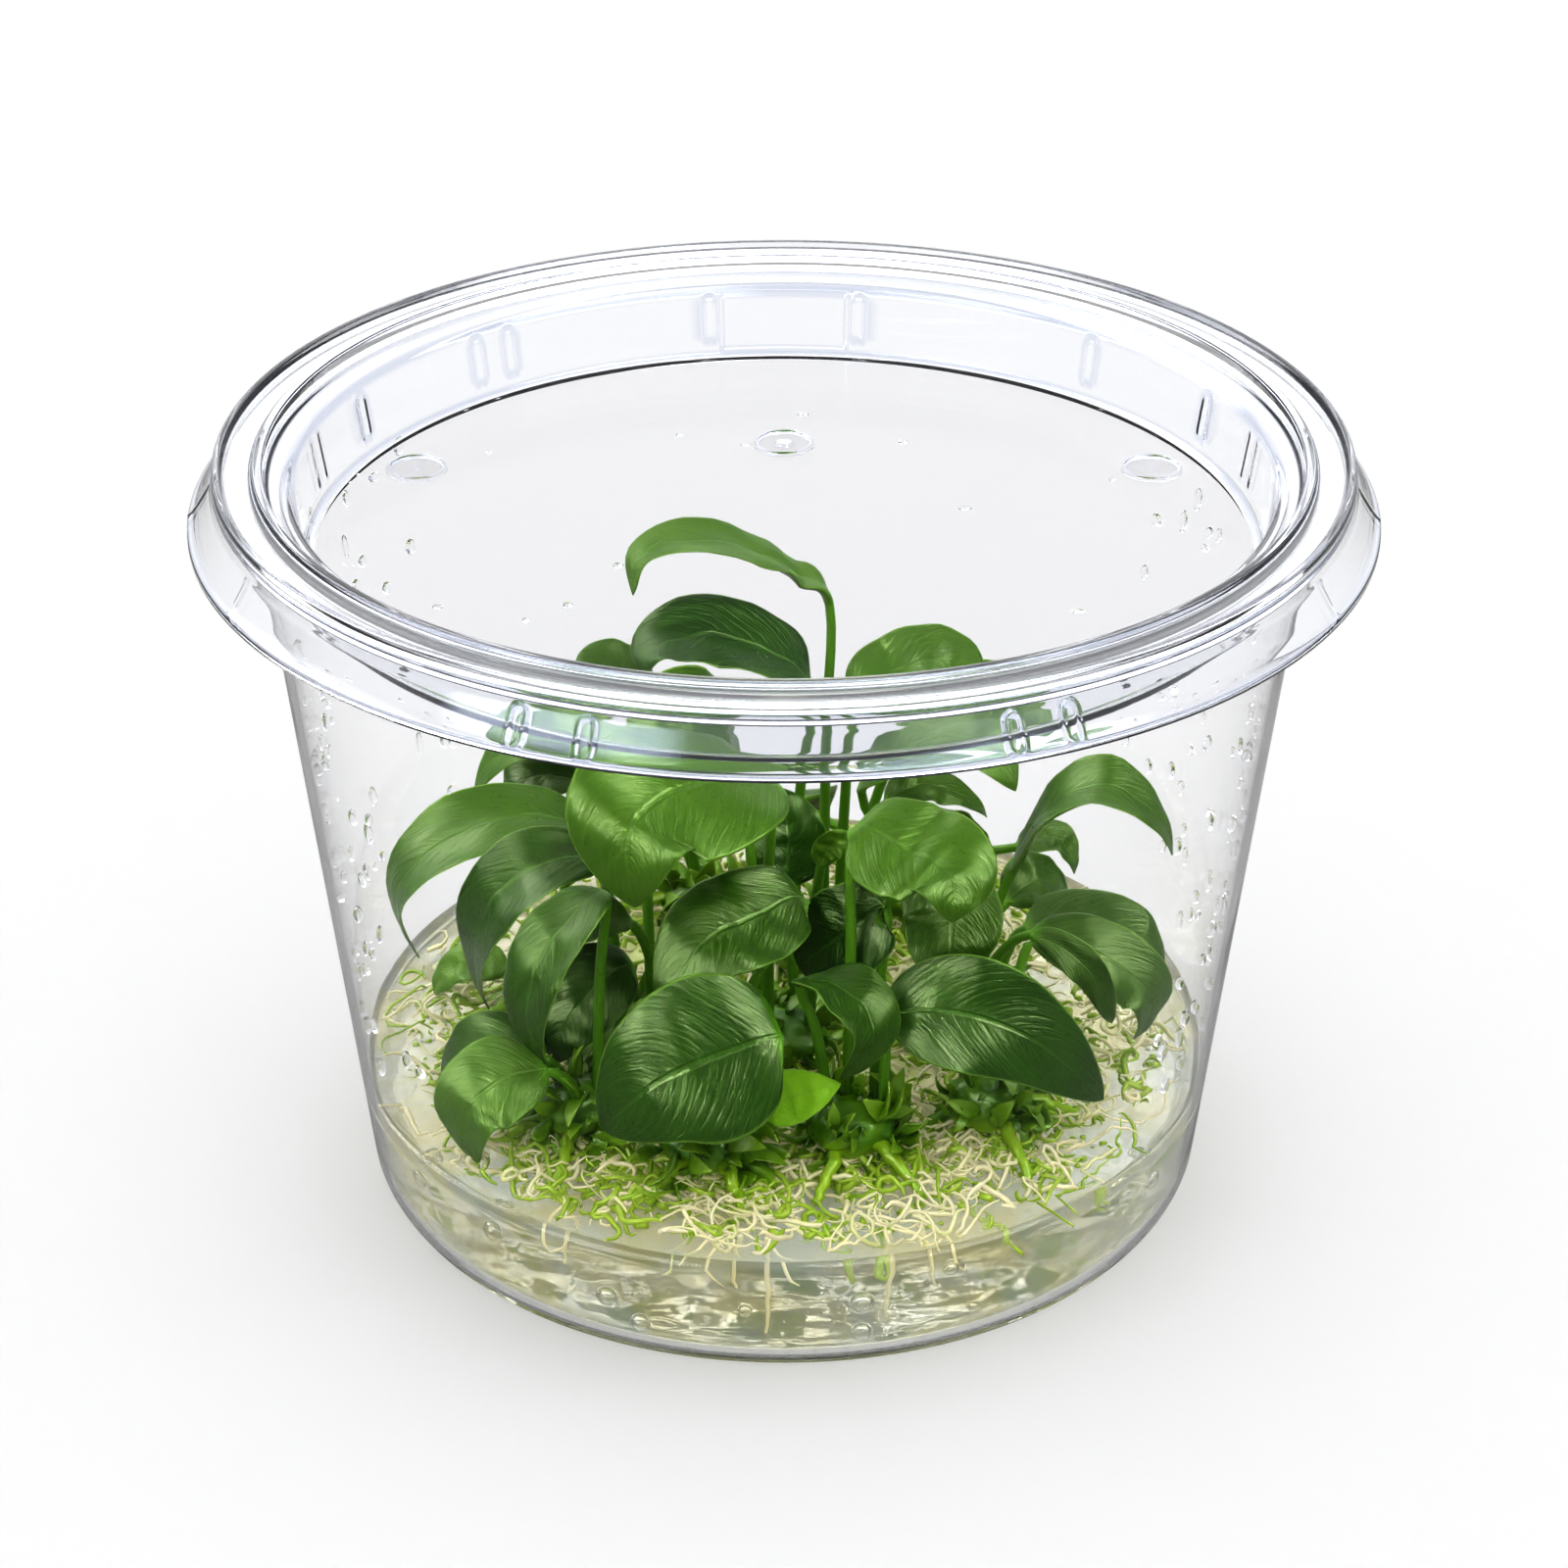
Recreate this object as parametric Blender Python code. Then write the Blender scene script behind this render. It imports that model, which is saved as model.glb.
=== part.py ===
# A dwarf anubias grown in a clear lidded culture cup.
# Metres, +Z up. The origin is at the middle of the cup's flat foot.
# The front of the object faces -Y. Lengths below are in millimetres.

import math

import bmesh
import bpy
from mathutils import Vector

MM = 0.001
GAP = 0.3
TURN_STEPS = 40

# Cup
FOOT_RADIUS = 41.0
FOOT_EDGE = 0.6
WALL_SLOPE = 0.111
WALL = 0.8
FLOOR = 0.9
CUP_HEIGHT = 73.7
FLANGE_UNDERSIDE = 72.5
FLANGE_RADIUS = 51.5

# Lid: panel, inner wall, channel, ring and skirt
LID_THICKNESS = 0.7
PANEL_TOP = 65.9
PANEL_RADIUS = 44.3
SHELF_RADIUS = 45.4
SHELF_TOP = 72.9
RIDGE_INNER = 47.6
RIDGE_OUTER = 48.8
CHANNEL_TOP = 74.7
LID_HEIGHT = 75.2
RING_RADIUS = 52.5
RING_FOOT = 72.8
SKIRT_RADIUS = 55.0
SKIRT_FOOT = 69.2

# Small forms on the lid. Angles in degrees run from the front towards +X.
RIB_HALF_ANGLE = 0.9
TAB_HALF_ANGLE = 8.3
SKIRT_RIB_ANGLES = (-85.0, -62.0, -24.0, -17.5, 20.5, 26.0, 61.5, 84.0)
WALL_RIB_ANGLES = (98.0, 103.5, 114.7, 118.7, -98.0, -103.5, -114.7, -118.7, -137.0, -142.0)
# Each pad: inner radius, outer radius and height of its low end, then of its high end
SKIRT_RIB_ENDS = ((53.6, 54.5, 70.7), (52.2, 53.1, 73.6))
WALL_RIB_ENDS = ((43.7, 44.75, 66.4), (44.6, 45.65, 72.2))
TAB_ENDS = ((43.1, 44.75, 66.6), (43.8, 45.65, 72.3))
TAB_COLUMNS = 4
VENT_RADIUS = 2.95
VENT_RISE = 0.3
VENT_SIDES = 12
VENTS = ((-35.5, 14.5), (0.0, 20.5), (35.5, 14.5))

# Gel and root mat
GEL_TOP = 12.0
GEL_FOOT = 1.2
MAT_RADIUS = 38.4
MAT_FOOT_RADIUS = 36.5
MAT_FOOT = 3.0
MAT_TOP = 13.0
MAT_LUMP = 0.3

# Sections of the leaves and roots
BLADE_HALF_THICKNESS = 0.26
PETIOLE_RADIUS = 0.7
TIP_RADIUS = 0.22
ROOT_RADIUS = 0.9

# Crowns stand on the root mat: middle, half length, height, ends of the thick roots
CROWN_FOOT = MAT_TOP + MAT_LUMP + GAP
CROWN_SIDES = 7
# Share of the height, and radius there as a share of the half length
CROWN_LEVELS = ((0.0, 0.7), (0.3, 1.05), (0.75, 0.95), (1.0, 0.8))
ROOT_SIDES = 5
ROOT_STEPS = 4
CROWNS = {
    "left": ((-19.0, -21.0), 4.2, 5.0, ((-27.0, -23.0), (-21.0, -30.0))),
    "left_rear": ((-14.0, -8.0), 4.4, 5.0, ((-9.0, -13.5),)),
    "far_left": ((-24.0, 0.5), 3.2, 3.0, ((-31.0, -3.0),)),
    "middle": ((-7.0, -27.0), 4.2, 5.0, ((-12.5, -32.5), (-3.5, -34.5))),
    "centre": ((0.0, -8.5), 4.4, 5.0, ((6.0, -13.5),)),
    "front": ((6.5, -24.5), 4.2, 5.0, ((3.0, -33.0), (13.0, -31.5))),
    "right": ((19.5, -20.0), 4.0, 5.0, ((22.5, -29.0), (28.0, -18.0))),
    "right_rear": ((17.5, -4.0), 4.6, 5.0, ((26.5, -5.0),)),
    "back": ((3.5, 8.5), 4.6, 5.5, ((-4.0, 12.5),)),
    "back_left": ((-8.5, 18.0), 3.8, 5.0, ((-17.0, 21.0),)),
    "back_right": ((13.0, 19.0), 4.2, 5.0, ((20.5, 24.5),)),
}

# Leaves: crown, place of the petiole's foot on it, width, facing, rise of the edges,
# then the midrib from the blade's base to its tip
LEAVES = {
    "top": (
        "back", (0.5, 2.5), 7.0, (-0.1, -0.25, 0.95), 0.6,
        ((4.5, 16, 50.5), (1, 17, 53.5), (-3, 16, 56.5), (-9, 13, 59), (-13.5, 10, 59), (-15, 7, 56.5)),
    ),
    "high_left": (
        "back", (-2.5, -0.5), 11.5, (-0.1, -0.3, 0.95), 1.0,
        ((2.5, 8.5, 44.5), (-1, 9, 48.5), (-7, 8.5, 51), (-12, 7, 50.5), (-14, 5, 49)),
    ),
    "high_far_left": (
        "back_left", (-0.5, -1), 8.0, (-0.1, -0.3, 0.95), 0.8,
        ((-13.5, 16, 40.5), (-17.5, 17, 43), (-21, 16, 42)),
    ),
    "high_right": (
        "back", (2, -0.5), 9.0, (0.1, -0.3, 0.95), 0.8,
        ((7, 8, 44), (11.5, 12, 45.5), (16, 12, 46.5), (19.5, 9, 45.5)),
    ),
    "veil_left": (
        "left_rear", (1, 2.5), 9.0, (-0.2, -0.5, 0.85), 1.0,
        ((-14, 4, 37), (-20, 6, 42), (-25.5, 6, 41.5), (-31, 5, 36)),
    ),
    "veil_mid": (
        "centre", (-2.5, 2), 13.0, (-0.1, -0.7, 0.7), 0.8,
        ((-4, 0, 40.5), (-6, -3, 47.5), (-10.5, -6, 50.5), (-14.5, -10, 49)),
    ),
    "veil_right": (
        "right_rear", (-3, 1), 10.0, (0.1, -0.5, 0.85), 0.8,
        ((7.5, 0, 38.5), (12.5, -1, 44.5), (18, -4, 46.5), (22, -8, 43.5)),
    ),
    "veil_far_right": (
        "back", (3, 2), 9.0, (0.1, -0.5, 0.85), 1.0,
        ((13, 14, 38.5), (19, 16, 40), (24.5, 14, 39), (27, 12, 36.5)),
    ),
    "large": (
        "centre", (-1.5, -2.5), 18.0, (-0.3, -0.8, 0.55), 0.6,
        ((-1.5, -11, 45.5), (-7, -16, 48.5), (-13.5, -21, 47), (-14, -24, 39.5)),
    ),
    "arch_left": (
        "left_rear", (-2, 1.5), 9.4, (-0.5, -0.4, 0.78), 1.0,
        ((-18, -5, 36), (-22.5, -6, 39), (-28, -7, 39), (-33.5, -8, 36.5), (-37, -8.5, 32), (-36, -9, 25)),
    ),
    "low_back_left": (
        "far_left", (1.5, 1.5), 7.0, (-0.3, -0.4, 0.85), 0.8,
        ((-20, 6, 35), (-23, 7, 36.5), (-26.5, 7, 35.5), (-28, 7, 32.5)),
    ),
    "mid_left_dark": (
        "left_rear", (-3.3, -1), 9.5, (-0.55, -0.5, 0.65), 1.0,
        ((-17, -13, 38), (-22.5, -15, 39), (-27, -15.5, 35.5), (-29, -15, 30), (-29, -13.5, 22)),
    ),
    "mid_left": (
        "left", (1.5, -0.5), 7.5, (-0.55, -0.75, 0.3), 0.6,
        ((-16.5, -20, 38.5), (-20, -23.5, 37.5), (-22.5, -25.5, 34), (-23.5, -26.5, 29.5), (-22.5, -26.5, 24)),
    ),
    "dark_left": (
        "left", (3, 2.5), 8.5, (-0.3, -0.85, 0.4), 0.6,
        ((-14.5, -14.5, 27.5), (-17.5, -16.5, 27), (-20.5, -18, 23.5), (-22, -19, 19.5)),
    ),
    "low_left_rear": (
        "left", (-2.2, 1), 8.0, (-0.4, -0.5, 0.75), 0.7,
        ((-22.5, -20.5, 21), (-27, -20, 22), (-31, -19, 19), (-32.5, -18.5, 15)),
    ),
    "low_left": (
        "left", (-0.5, -2.2), 9.5, (-0.3, -0.75, 0.55), 0.6,
        ((-22, -25, 22.5), (-26, -26.5, 22.5), (-29, -27.5, 20), (-29, -28, 14)),
    ),
    "small_far_left": (
        "far_left", (-1.5, -0.5), 5.0, (-0.3, -0.5, 0.8), 0.5,
        ((-27.5, 0, 18.5), (-32, 1, 18.5), (-35.5, 1, 15)),
    ),
    "small_mid_left": (
        "left_rear", (2, -0.5), 5.0, (-0.1, -0.45, 0.88), 0.5,
        ((-14.5, -15.5, 33), (-17.5, -16, 33.5), (-21, -16.5, 31.5)),
    ),
    "centre": (
        "middle", (0.5, 2), 11.5, (-0.35, -0.75, 0.55), 0.6,
        ((1.5, -16, 35.5), (-3, -19, 35.5), (-7.5, -22, 34.5), (-11.5, -25, 29)),
    ),
    "front": (
        "middle", (2.5, -1), 16.5, (-0.12, -0.86, 0.48), -0.5,
        ((-0.5, -30, 29.5), (-5.5, -32, 29), (-11.5, -33, 26.5), (-17, -32, 20.5)),
    ),
    "glossy": (
        "front", (-0.5, 2), 12.5, (0.25, -0.65, 0.7), 0.3,
        ((6.5, -17, 43.5), (11, -20, 43.5), (15, -23, 42.5), (15.5, -26, 39.5)),
    ),
    "under_glossy": (
        "right", (-2, 1), 10.0, (0.15, -0.9, 0.35), 0.5,
        ((13, -12, 36.5), (15.5, -16, 35), (15.5, -19, 32), (15.5, -20, 27.5)),
    ),
    "big_right": (
        "front", (2.8, -0.5), 11.5, (0.12, -0.82, 0.55), 0.4,
        ((9.5, -25, 28.5), (15.5, -26.5, 30), (22.5, -27, 27.5), (30, -26, 20)),
    ),
    "arch_right": (
        "right_rear", (1.5, -1), 8.0, (0.3, -0.25, 0.9), 0.9,
        ((22, -5, 32.5), (25, -6, 39.5), (29.5, -7, 43), (34, -8, 41.5), (37.5, -9, 37)),
    ),
    "thin_back": (
        "back", (2.5, -2.5), 5.0, (0.1, -0.4, 0.9), 0.5,
        ((10, 3, 35.5), (14.5, 5, 36.5), (20.5, 6, 33)),
    ),
    "back_right_tip": (
        "back_right", (3, -1.5), 5.0, (0.3, -0.3, 0.9), 0.6,
        ((23.5, 13, 25), (27.5, 14, 25.5), (30, 12, 23)),
    ),
    "grey_right": (
        "right_rear", (0.5, 2.5), 6.5, (0.1, -0.5, 0.85), 0.6,
        ((22, 1, 25.5), (25.5, 3, 27), (29, 4, 23.5)),
    ),
    "low_right_rear": (
        "right_rear", (3.5, 1), 8.5, (0.2, -0.3, 0.9), 0.7,
        ((23.5, -4, 25.5), (28.5, -4, 26.5), (34, -5, 25.5), (37.5, -6, 22.5)),
    ),
    "low_right": (
        "right_rear", (1, -3), 7.5, (0.35, -0.7, 0.55), 0.5,
        ((23.5, -11, 29), (29, -13, 28.5), (34.5, -14, 24.5), (34, -15, 19.5)),
    ),
    "narrow_right": (
        "right", (1, 1.5), 3.8, (-0.3, -0.8, 0.4), 0.5,
        ((23.5, -15, 31), (27.5, -17, 30), (29.5, -18, 27.5), (31, -18, 23)),
    ),
    "centre_dark": (
        "front", (2, 2), 9.5, (-0.2, -0.85, 0.5), 0.6,
        ((9.5, -18, 36), (6.5, -18, 34), (3.5, -17, 31), (1, -16, 28)),
    ),
    "curl": (
        "front", (-2.5, 0.5), 7.5, (0.5, -0.7, 0.5), 1.0,
        ((1.5, -24, 31.5), (5.5, -27, 32.5), (8, -29.5, 30), (5.5, -31, 25)),
    ),
    "curl_tip": (
        "middle", (2.8, 1.8), 5.5, (0.1, -0.8, 0.5), 0.3,
        ((-2.5, -27, 20), (1, -27.5, 21.5), (5, -28, 23)),
    ),
    "young": (
        "centre", (2.5, -1.5), 3.0, (0, -0.9, 0.4), 0.8,
        ((3.5, -12, 37), (4.5, -12, 39.5), (6.5, -12, 40.5)),
    ),
    "behind_centre": (
        "centre", (1, 2.7), 8.0, (0, -0.9, 0.3), 0.5,
        ((0, -2, 29), (0.5, 0, 33.5), (-0.5, 3, 37.5)),
    ),
    "back_a": (
        "back_left", (-1, 2), 10.0, (-0.4, 0.5, 0.75), 0.8,
        ((-13, 21, 24), (-16.5, 26, 21), (-20, 30, 14.5)),
    ),
    "back_b": (
        "back_right", (-3.2, 0.5), 10.0, (0, 0.6, 0.75), 0.8,
        ((1.5, 24, 24), (1, 30, 21.5), (2.5, 35, 14)),
    ),
    "back_c": (
        "back_right", (1, 1.5), 9.0, (0.4, 0.5, 0.75), 0.8,
        ((13.5, 22, 24), (17, 26, 21.5), (22, 29, 14)),
    ),
}

# Stations along the blade, as shares of its length
BLADE_STATIONS = (0.0, 0.14, 0.38, 0.64, 0.86, 1.0)
# Points around a leaf's section: across, and up the thickness
SECTION = ((-1, 0), (-0.55, 1), (0, 1.1), (0.55, 1), (1, 0), (0.55, -1), (0, -1.1), (-0.55, -1))


def material(name, colour, roughness, alpha=1.0):
    mat = bpy.data.materials.new(name)
    mat.use_nodes = True
    shader = mat.node_tree.nodes["Principled BSDF"]
    shader.inputs["Base Color"].default_value = (*colour, 1.0)
    shader.inputs["Roughness"].default_value = roughness
    shader.inputs["Metallic"].default_value = 0.0
    shader.inputs["Alpha"].default_value = alpha
    mat.diffuse_color = (*colour, alpha)
    return mat


def link_object(name, bm, mat, sharp=35.0):
    bmesh.ops.recalc_face_normals(bm, faces=bm.faces)
    mesh = bpy.data.meshes.new(name)
    bm.to_mesh(mesh)
    bm.free()
    mesh.shade_smooth()
    mesh.set_sharp_from_angle(angle=math.radians(sharp))
    mesh.materials.append(mat)
    obj = bpy.data.objects.new(name, mesh)
    bpy.context.collection.objects.link(obj)
    return obj


def join_to(body, name, bm, mat):
    # Adds the closed shapes in bm to the body as one solid
    extra = link_object(name, bm, mat)
    extra.hide_render = True
    extra.display_type = "WIRE"
    union = body.modifiers.new("union", "BOOLEAN")
    union.operation = "UNION"
    union.solver = "EXACT"
    union.object = extra


def turned(name, profile, mat):
    bm = bmesh.new()
    verts = [bm.verts.new((r * MM, 0.0, z * MM)) for r, z in profile]
    edges = [bm.edges.new(pair) for pair in zip(verts, verts[1:])]
    bmesh.ops.spin(bm, geom=verts + edges, cent=(0, 0, 0), axis=(0, 0, 1),
                   angle=math.tau, steps=TURN_STEPS, use_merge=True)
    bmesh.ops.remove_doubles(bm, verts=bm.verts, dist=0.01 * MM)
    return link_object(name, bm, mat)


def loft(bm, rings):
    # Skins a row of rings, given in millimetres, and caps both ends
    rows = [[bm.verts.new(p * MM) for p in ring] for ring in rings]
    for low, high in zip(rows, rows[1:]):
        for i in range(len(low)):
            j = (i + 1) % len(low)
            bm.faces.new((low[i], low[j], high[j], high[i]))
    bm.faces.new(reversed(rows[0]))
    bm.faces.new(rows[-1])


def along(points, t):
    # A smooth curve through the points; t counts them from 0
    span = min(int(t), len(points) - 2)
    f = t - span
    p1 = points[span]
    p2 = points[span + 1]
    p0 = points[span - 1] if span > 0 else 2 * p1 - p2
    p3 = points[span + 2] if span + 2 < len(points) else 2 * p2 - p1
    bend = 2 * p0 - 5 * p1 + 4 * p2 - p3
    twist = 3 * p1 - p0 - 3 * p2 + p3
    return 0.5 * (2 * p1 + (p2 - p0) * f + bend * f * f + twist * f ** 3)


def heading(points, t):
    last = len(points) - 1
    step = 0.02
    return (along(points, min(t + step, last)) - along(points, max(t - step, 0))).normalized()


def wall_radius(z):
    return FOOT_RADIUS + WALL_SLOPE * z


def inner_radius(z):
    return wall_radius(z) - WALL


def cup():
    low = CUP_HEIGHT / 3
    high = 2 * low
    profile = [
        (0, 0), (FOOT_RADIUS - FOOT_EDGE, 0), (wall_radius(FOOT_EDGE), FOOT_EDGE),
        (wall_radius(low), low), (wall_radius(high), high),
        (wall_radius(FLANGE_UNDERSIDE), FLANGE_UNDERSIDE), (FLANGE_RADIUS, FLANGE_UNDERSIDE),
        (FLANGE_RADIUS, CUP_HEIGHT), (inner_radius(CUP_HEIGHT), CUP_HEIGHT),
        (inner_radius(high), high), (inner_radius(low), low),
        (inner_radius(FLOOR), FLOOR), (0, FLOOR),
    ]
    turned("cup", profile, CLEAR)


def lid():
    t = LID_THICKNESS
    panel_foot = PANEL_TOP - t
    channel_foot = CHANNEL_TOP - t
    shoulder = SHELF_TOP + 0.6
    crease = (SKIRT_RADIUS - 0.8, SKIRT_FOOT + 1.4)
    over = [
        (0, PANEL_TOP), (PANEL_RADIUS, PANEL_TOP), (SHELF_RADIUS, SHELF_TOP),
        (RIDGE_INNER, shoulder), (RIDGE_INNER + 0.3, LID_HEIGHT),
        (RIDGE_OUTER, LID_HEIGHT), (RIDGE_OUTER + 0.2, CHANNEL_TOP),
        (RING_RADIUS - 1.0, CHANNEL_TOP), (RING_RADIUS - 0.7, LID_HEIGHT),
        (RING_RADIUS - 0.1, LID_HEIGHT), (RING_RADIUS, LID_HEIGHT - 0.4),
        (RING_RADIUS + 0.3, RING_FOOT), crease,
        (SKIRT_RADIUS, SKIRT_FOOT + 0.6), (SKIRT_RADIUS, SKIRT_FOOT),
    ]
    under = [
        (SKIRT_RADIUS - t, SKIRT_FOOT), (crease[0] - t, crease[1] - 0.3),
        (RING_RADIUS + 0.3 - t, RING_FOOT - 0.3), (RING_RADIUS - t, channel_foot),
        (RIDGE_INNER + 0.4, channel_foot), (RIDGE_INNER + 0.1, shoulder - t),
        (SHELF_RADIUS + t, SHELF_TOP - t), (PANEL_RADIUS + t, panel_foot + 0.3),
        (PANEL_RADIUS, panel_foot), (0, panel_foot),
    ]
    body = turned("lid", over + under, CLEAR)
    bm = bmesh.new()
    for angle in SKIRT_RIB_ANGLES:
        arc_pad(bm, angle, RIB_HALF_ANGLE, SKIRT_RIB_ENDS, 1)
    for angle in WALL_RIB_ANGLES:
        arc_pad(bm, angle, RIB_HALF_ANGLE, WALL_RIB_ENDS, 1)
    arc_pad(bm, 180.0, TAB_HALF_ANGLE, TAB_ENDS, TAB_COLUMNS)
    for x, y in VENTS:
        vent_ring(bm, x, y)
    join_to(body, "lid_pads", bm, CLEAR)


def arc_pad(bm, middle, half, ends, columns):
    # A pad that follows a round wall
    low, high = ends
    rings = []
    for k in range(columns + 1):
        angle = math.radians(middle - half + 2 * half * k / columns)
        way = Vector((math.sin(angle), -math.cos(angle), 0))
        foot = Vector((0, 0, low[2]))
        head = Vector((0, 0, high[2]))
        rings.append([way * low[0] + foot, way * low[1] + foot,
                      way * high[1] + head, way * high[0] + head])
    loft(bm, rings)


def vent_ring(bm, x, y):
    rings = []
    for z in (PANEL_TOP - 0.5 * LID_THICKNESS, PANEL_TOP + VENT_RISE):
        ring = []
        for k in range(VENT_SIDES):
            angle = math.tau * k / VENT_SIDES
            ring.append(Vector((x + VENT_RADIUS * math.cos(angle),
                                y + VENT_RADIUS * math.sin(angle), z)))
        rings.append(ring)
    loft(bm, rings)


def gel():
    profile = [
        (0, GEL_FOOT), (inner_radius(GEL_FOOT) - 2 * GAP, GEL_FOOT),
        (inner_radius(GEL_TOP) - GAP, GEL_TOP), (MAT_RADIUS + GAP, GEL_TOP),
        (MAT_FOOT_RADIUS + GAP, MAT_FOOT - GAP), (0, MAT_FOOT - GAP),
    ]
    turned("gel", profile, GEL)


def root_mat():
    # The closed form of the fine roots: a thick disc in the gel with a lumpy top
    profile = [
        (0, MAT_FOOT), (MAT_FOOT_RADIUS, MAT_FOOT), (MAT_RADIUS, GEL_TOP),
        (35, MAT_TOP - 0.3), (26, MAT_TOP), (13, MAT_TOP), (0, MAT_TOP),
    ]
    body = turned("root_mat", profile, ROOT)
    for vert in body.data.vertices:
        x, y, z = vert.co / MM
        reach = math.hypot(x, y)
        if z > GEL_TOP + 0.2 and 1.0 < reach < 36.0:
            vert.co.z += MAT_LUMP * math.sin(5.0 * math.atan2(y, x) + 0.4 * reach) * MM


def crown(name, middle, half_length, height, root_ends):
    bm = bmesh.new()
    rings = []
    for k, (share, swell) in enumerate(CROWN_LEVELS):
        ring = []
        for i in range(CROWN_SIDES):
            angle = math.tau * i / CROWN_SIDES
            reach = half_length * swell * (1.0 + 0.1 * math.sin(3 * angle + 2.1 * k))
            ring.append(Vector((middle[0] + reach * math.cos(angle),
                                middle[1] + 0.85 * reach * math.sin(angle),
                                CROWN_FOOT + height * share)))
        rings.append(ring)
    loft(bm, rings)
    body = link_object("crown_" + name, bm, CROWN)
    bm = bmesh.new()
    for end in root_ends:
        start = Vector((*middle, CROWN_FOOT + 0.45 * height))
        tip = Vector((*end, CROWN_FOOT + 0.5 * ROOT_RADIUS))
        knee = start.lerp(tip, 0.55) + Vector((0, 0, 0.9))
        thick_root(bm, [start, knee, tip])
    join_to(body, "crown_" + name + "_roots", bm, CROWN)


def thick_root(bm, path):
    rings = []
    for k in range(ROOT_STEPS + 1):
        t = (len(path) - 1) * k / ROOT_STEPS
        here = along(path, t)
        way = heading(path, t)
        side = way.cross(Vector((0, 0, 1))).normalized()
        rise = side.cross(way)
        radius = ROOT_RADIUS * (1.0 - 0.65 * k / ROOT_STEPS)
        ring = []
        for i in range(ROOT_SIDES):
            angle = math.tau * i / ROOT_SIDES
            ring.append(here + radius * (side * math.cos(angle) + rise * math.sin(angle)))
        rings.append(ring)
    loft(bm, rings)


def blade_width(s):
    # Half width as a share of its greatest; s runs from the blade's base to its tip
    if not 0 < s < 1:
        return 0.0
    return math.sin(math.pi * s ** 0.82) ** 0.62 * (1.0 - 0.12 * s)


def leaf_path(crown_name, offset, midrib):
    # The petiole's foot and knee, then the midrib
    middle, half_length, height, root_ends = CROWNS[crown_name]
    base = Vector(midrib[0])
    foot = Vector((middle[0] + offset[0], middle[1] + offset[1], CROWN_FOOT + height + GAP))
    knee = foot.lerp(base, 0.4)
    knee.z = foot.z + 0.6 * (base.z - foot.z)
    return [foot, knee] + [Vector(p) for p in midrib]


def leaf(name, crown_name, offset, width, facing, rise, midrib):
    path = leaf_path(crown_name, offset, midrib)
    across = (path[-1] - path[2]).cross(Vector(facing)).normalized()
    length = len(path) - 3
    stations = [(0.0, -1.0), (1.0, -1.0)]
    stations += [(2.0 + length * s, s) for s in BLADE_STATIONS]
    rings = []
    for t, s in stations:
        here = along(path, t)
        way = heading(path, t) if t > 0 else Vector((0, 0, 1))
        side = (across - way * across.dot(way)).normalized()
        face = side.cross(way)
        half = PETIOLE_RADIUS
        thick = PETIOLE_RADIUS
        lift = 0.0
        if s > 0:
            half = max(0.5 * width * blade_width(s), TIP_RADIUS)
            thick = BLADE_HALF_THICKNESS if s < 1 else TIP_RADIUS
            lift = rise * (2 * half / width) ** 2
        rings.append([here + side * half * u + face * (thick * v + lift * u * u)
                      for u, v in SECTION])
    bm = bmesh.new()
    loft(bm, rings)
    link_object("leaf_" + name, bm, LIME if name == "curl_tip" else LEAF, 50.0)


for old in list(bpy.data.objects):
    bpy.data.objects.remove(old, do_unlink=True)

CLEAR = material("clear_plastic", (0.86, 0.88, 0.92), 0.08, 0.35)
GEL = material("culture_gel", (0.85, 0.84, 0.68), 0.1, 0.6)
ROOT = material("root", (0.78, 0.74, 0.42), 0.5)
CROWN = material("crown", (0.16, 0.28, 0.03), 0.5)
LEAF = material("leaf", (0.03, 0.16, 0.015), 0.35)
LIME = material("young_leaf", (0.16, 0.42, 0.02), 0.35)

cup()
lid()
gel()
root_mat()
for crown_name, values in CROWNS.items():
    crown(crown_name, *values)
for leaf_name, values in LEAVES.items():
    leaf(leaf_name, *values)
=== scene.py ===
import math
import random

import bmesh
import bpy
import numpy as np
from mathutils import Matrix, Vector, noise


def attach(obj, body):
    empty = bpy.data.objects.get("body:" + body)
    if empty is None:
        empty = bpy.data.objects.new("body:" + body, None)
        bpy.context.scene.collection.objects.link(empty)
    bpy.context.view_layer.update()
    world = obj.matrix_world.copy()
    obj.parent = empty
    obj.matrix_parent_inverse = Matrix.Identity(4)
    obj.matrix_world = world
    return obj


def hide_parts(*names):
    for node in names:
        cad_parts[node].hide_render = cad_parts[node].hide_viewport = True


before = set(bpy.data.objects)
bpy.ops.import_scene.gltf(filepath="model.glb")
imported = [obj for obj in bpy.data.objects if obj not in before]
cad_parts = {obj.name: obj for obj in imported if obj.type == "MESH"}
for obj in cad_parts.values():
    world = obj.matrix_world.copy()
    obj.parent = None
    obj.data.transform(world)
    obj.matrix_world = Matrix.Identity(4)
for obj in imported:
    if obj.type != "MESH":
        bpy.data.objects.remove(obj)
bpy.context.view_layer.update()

mm = 0.001

# Camera at the photograph's angle. Lengths in every dictionary are in millimetres, angles in degrees
viewSetup = {
    "lens": 90.0,
    "elevation": 28.54,
    "distance": 378.8,
    "lookAtHeight": 39.24,
}

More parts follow.
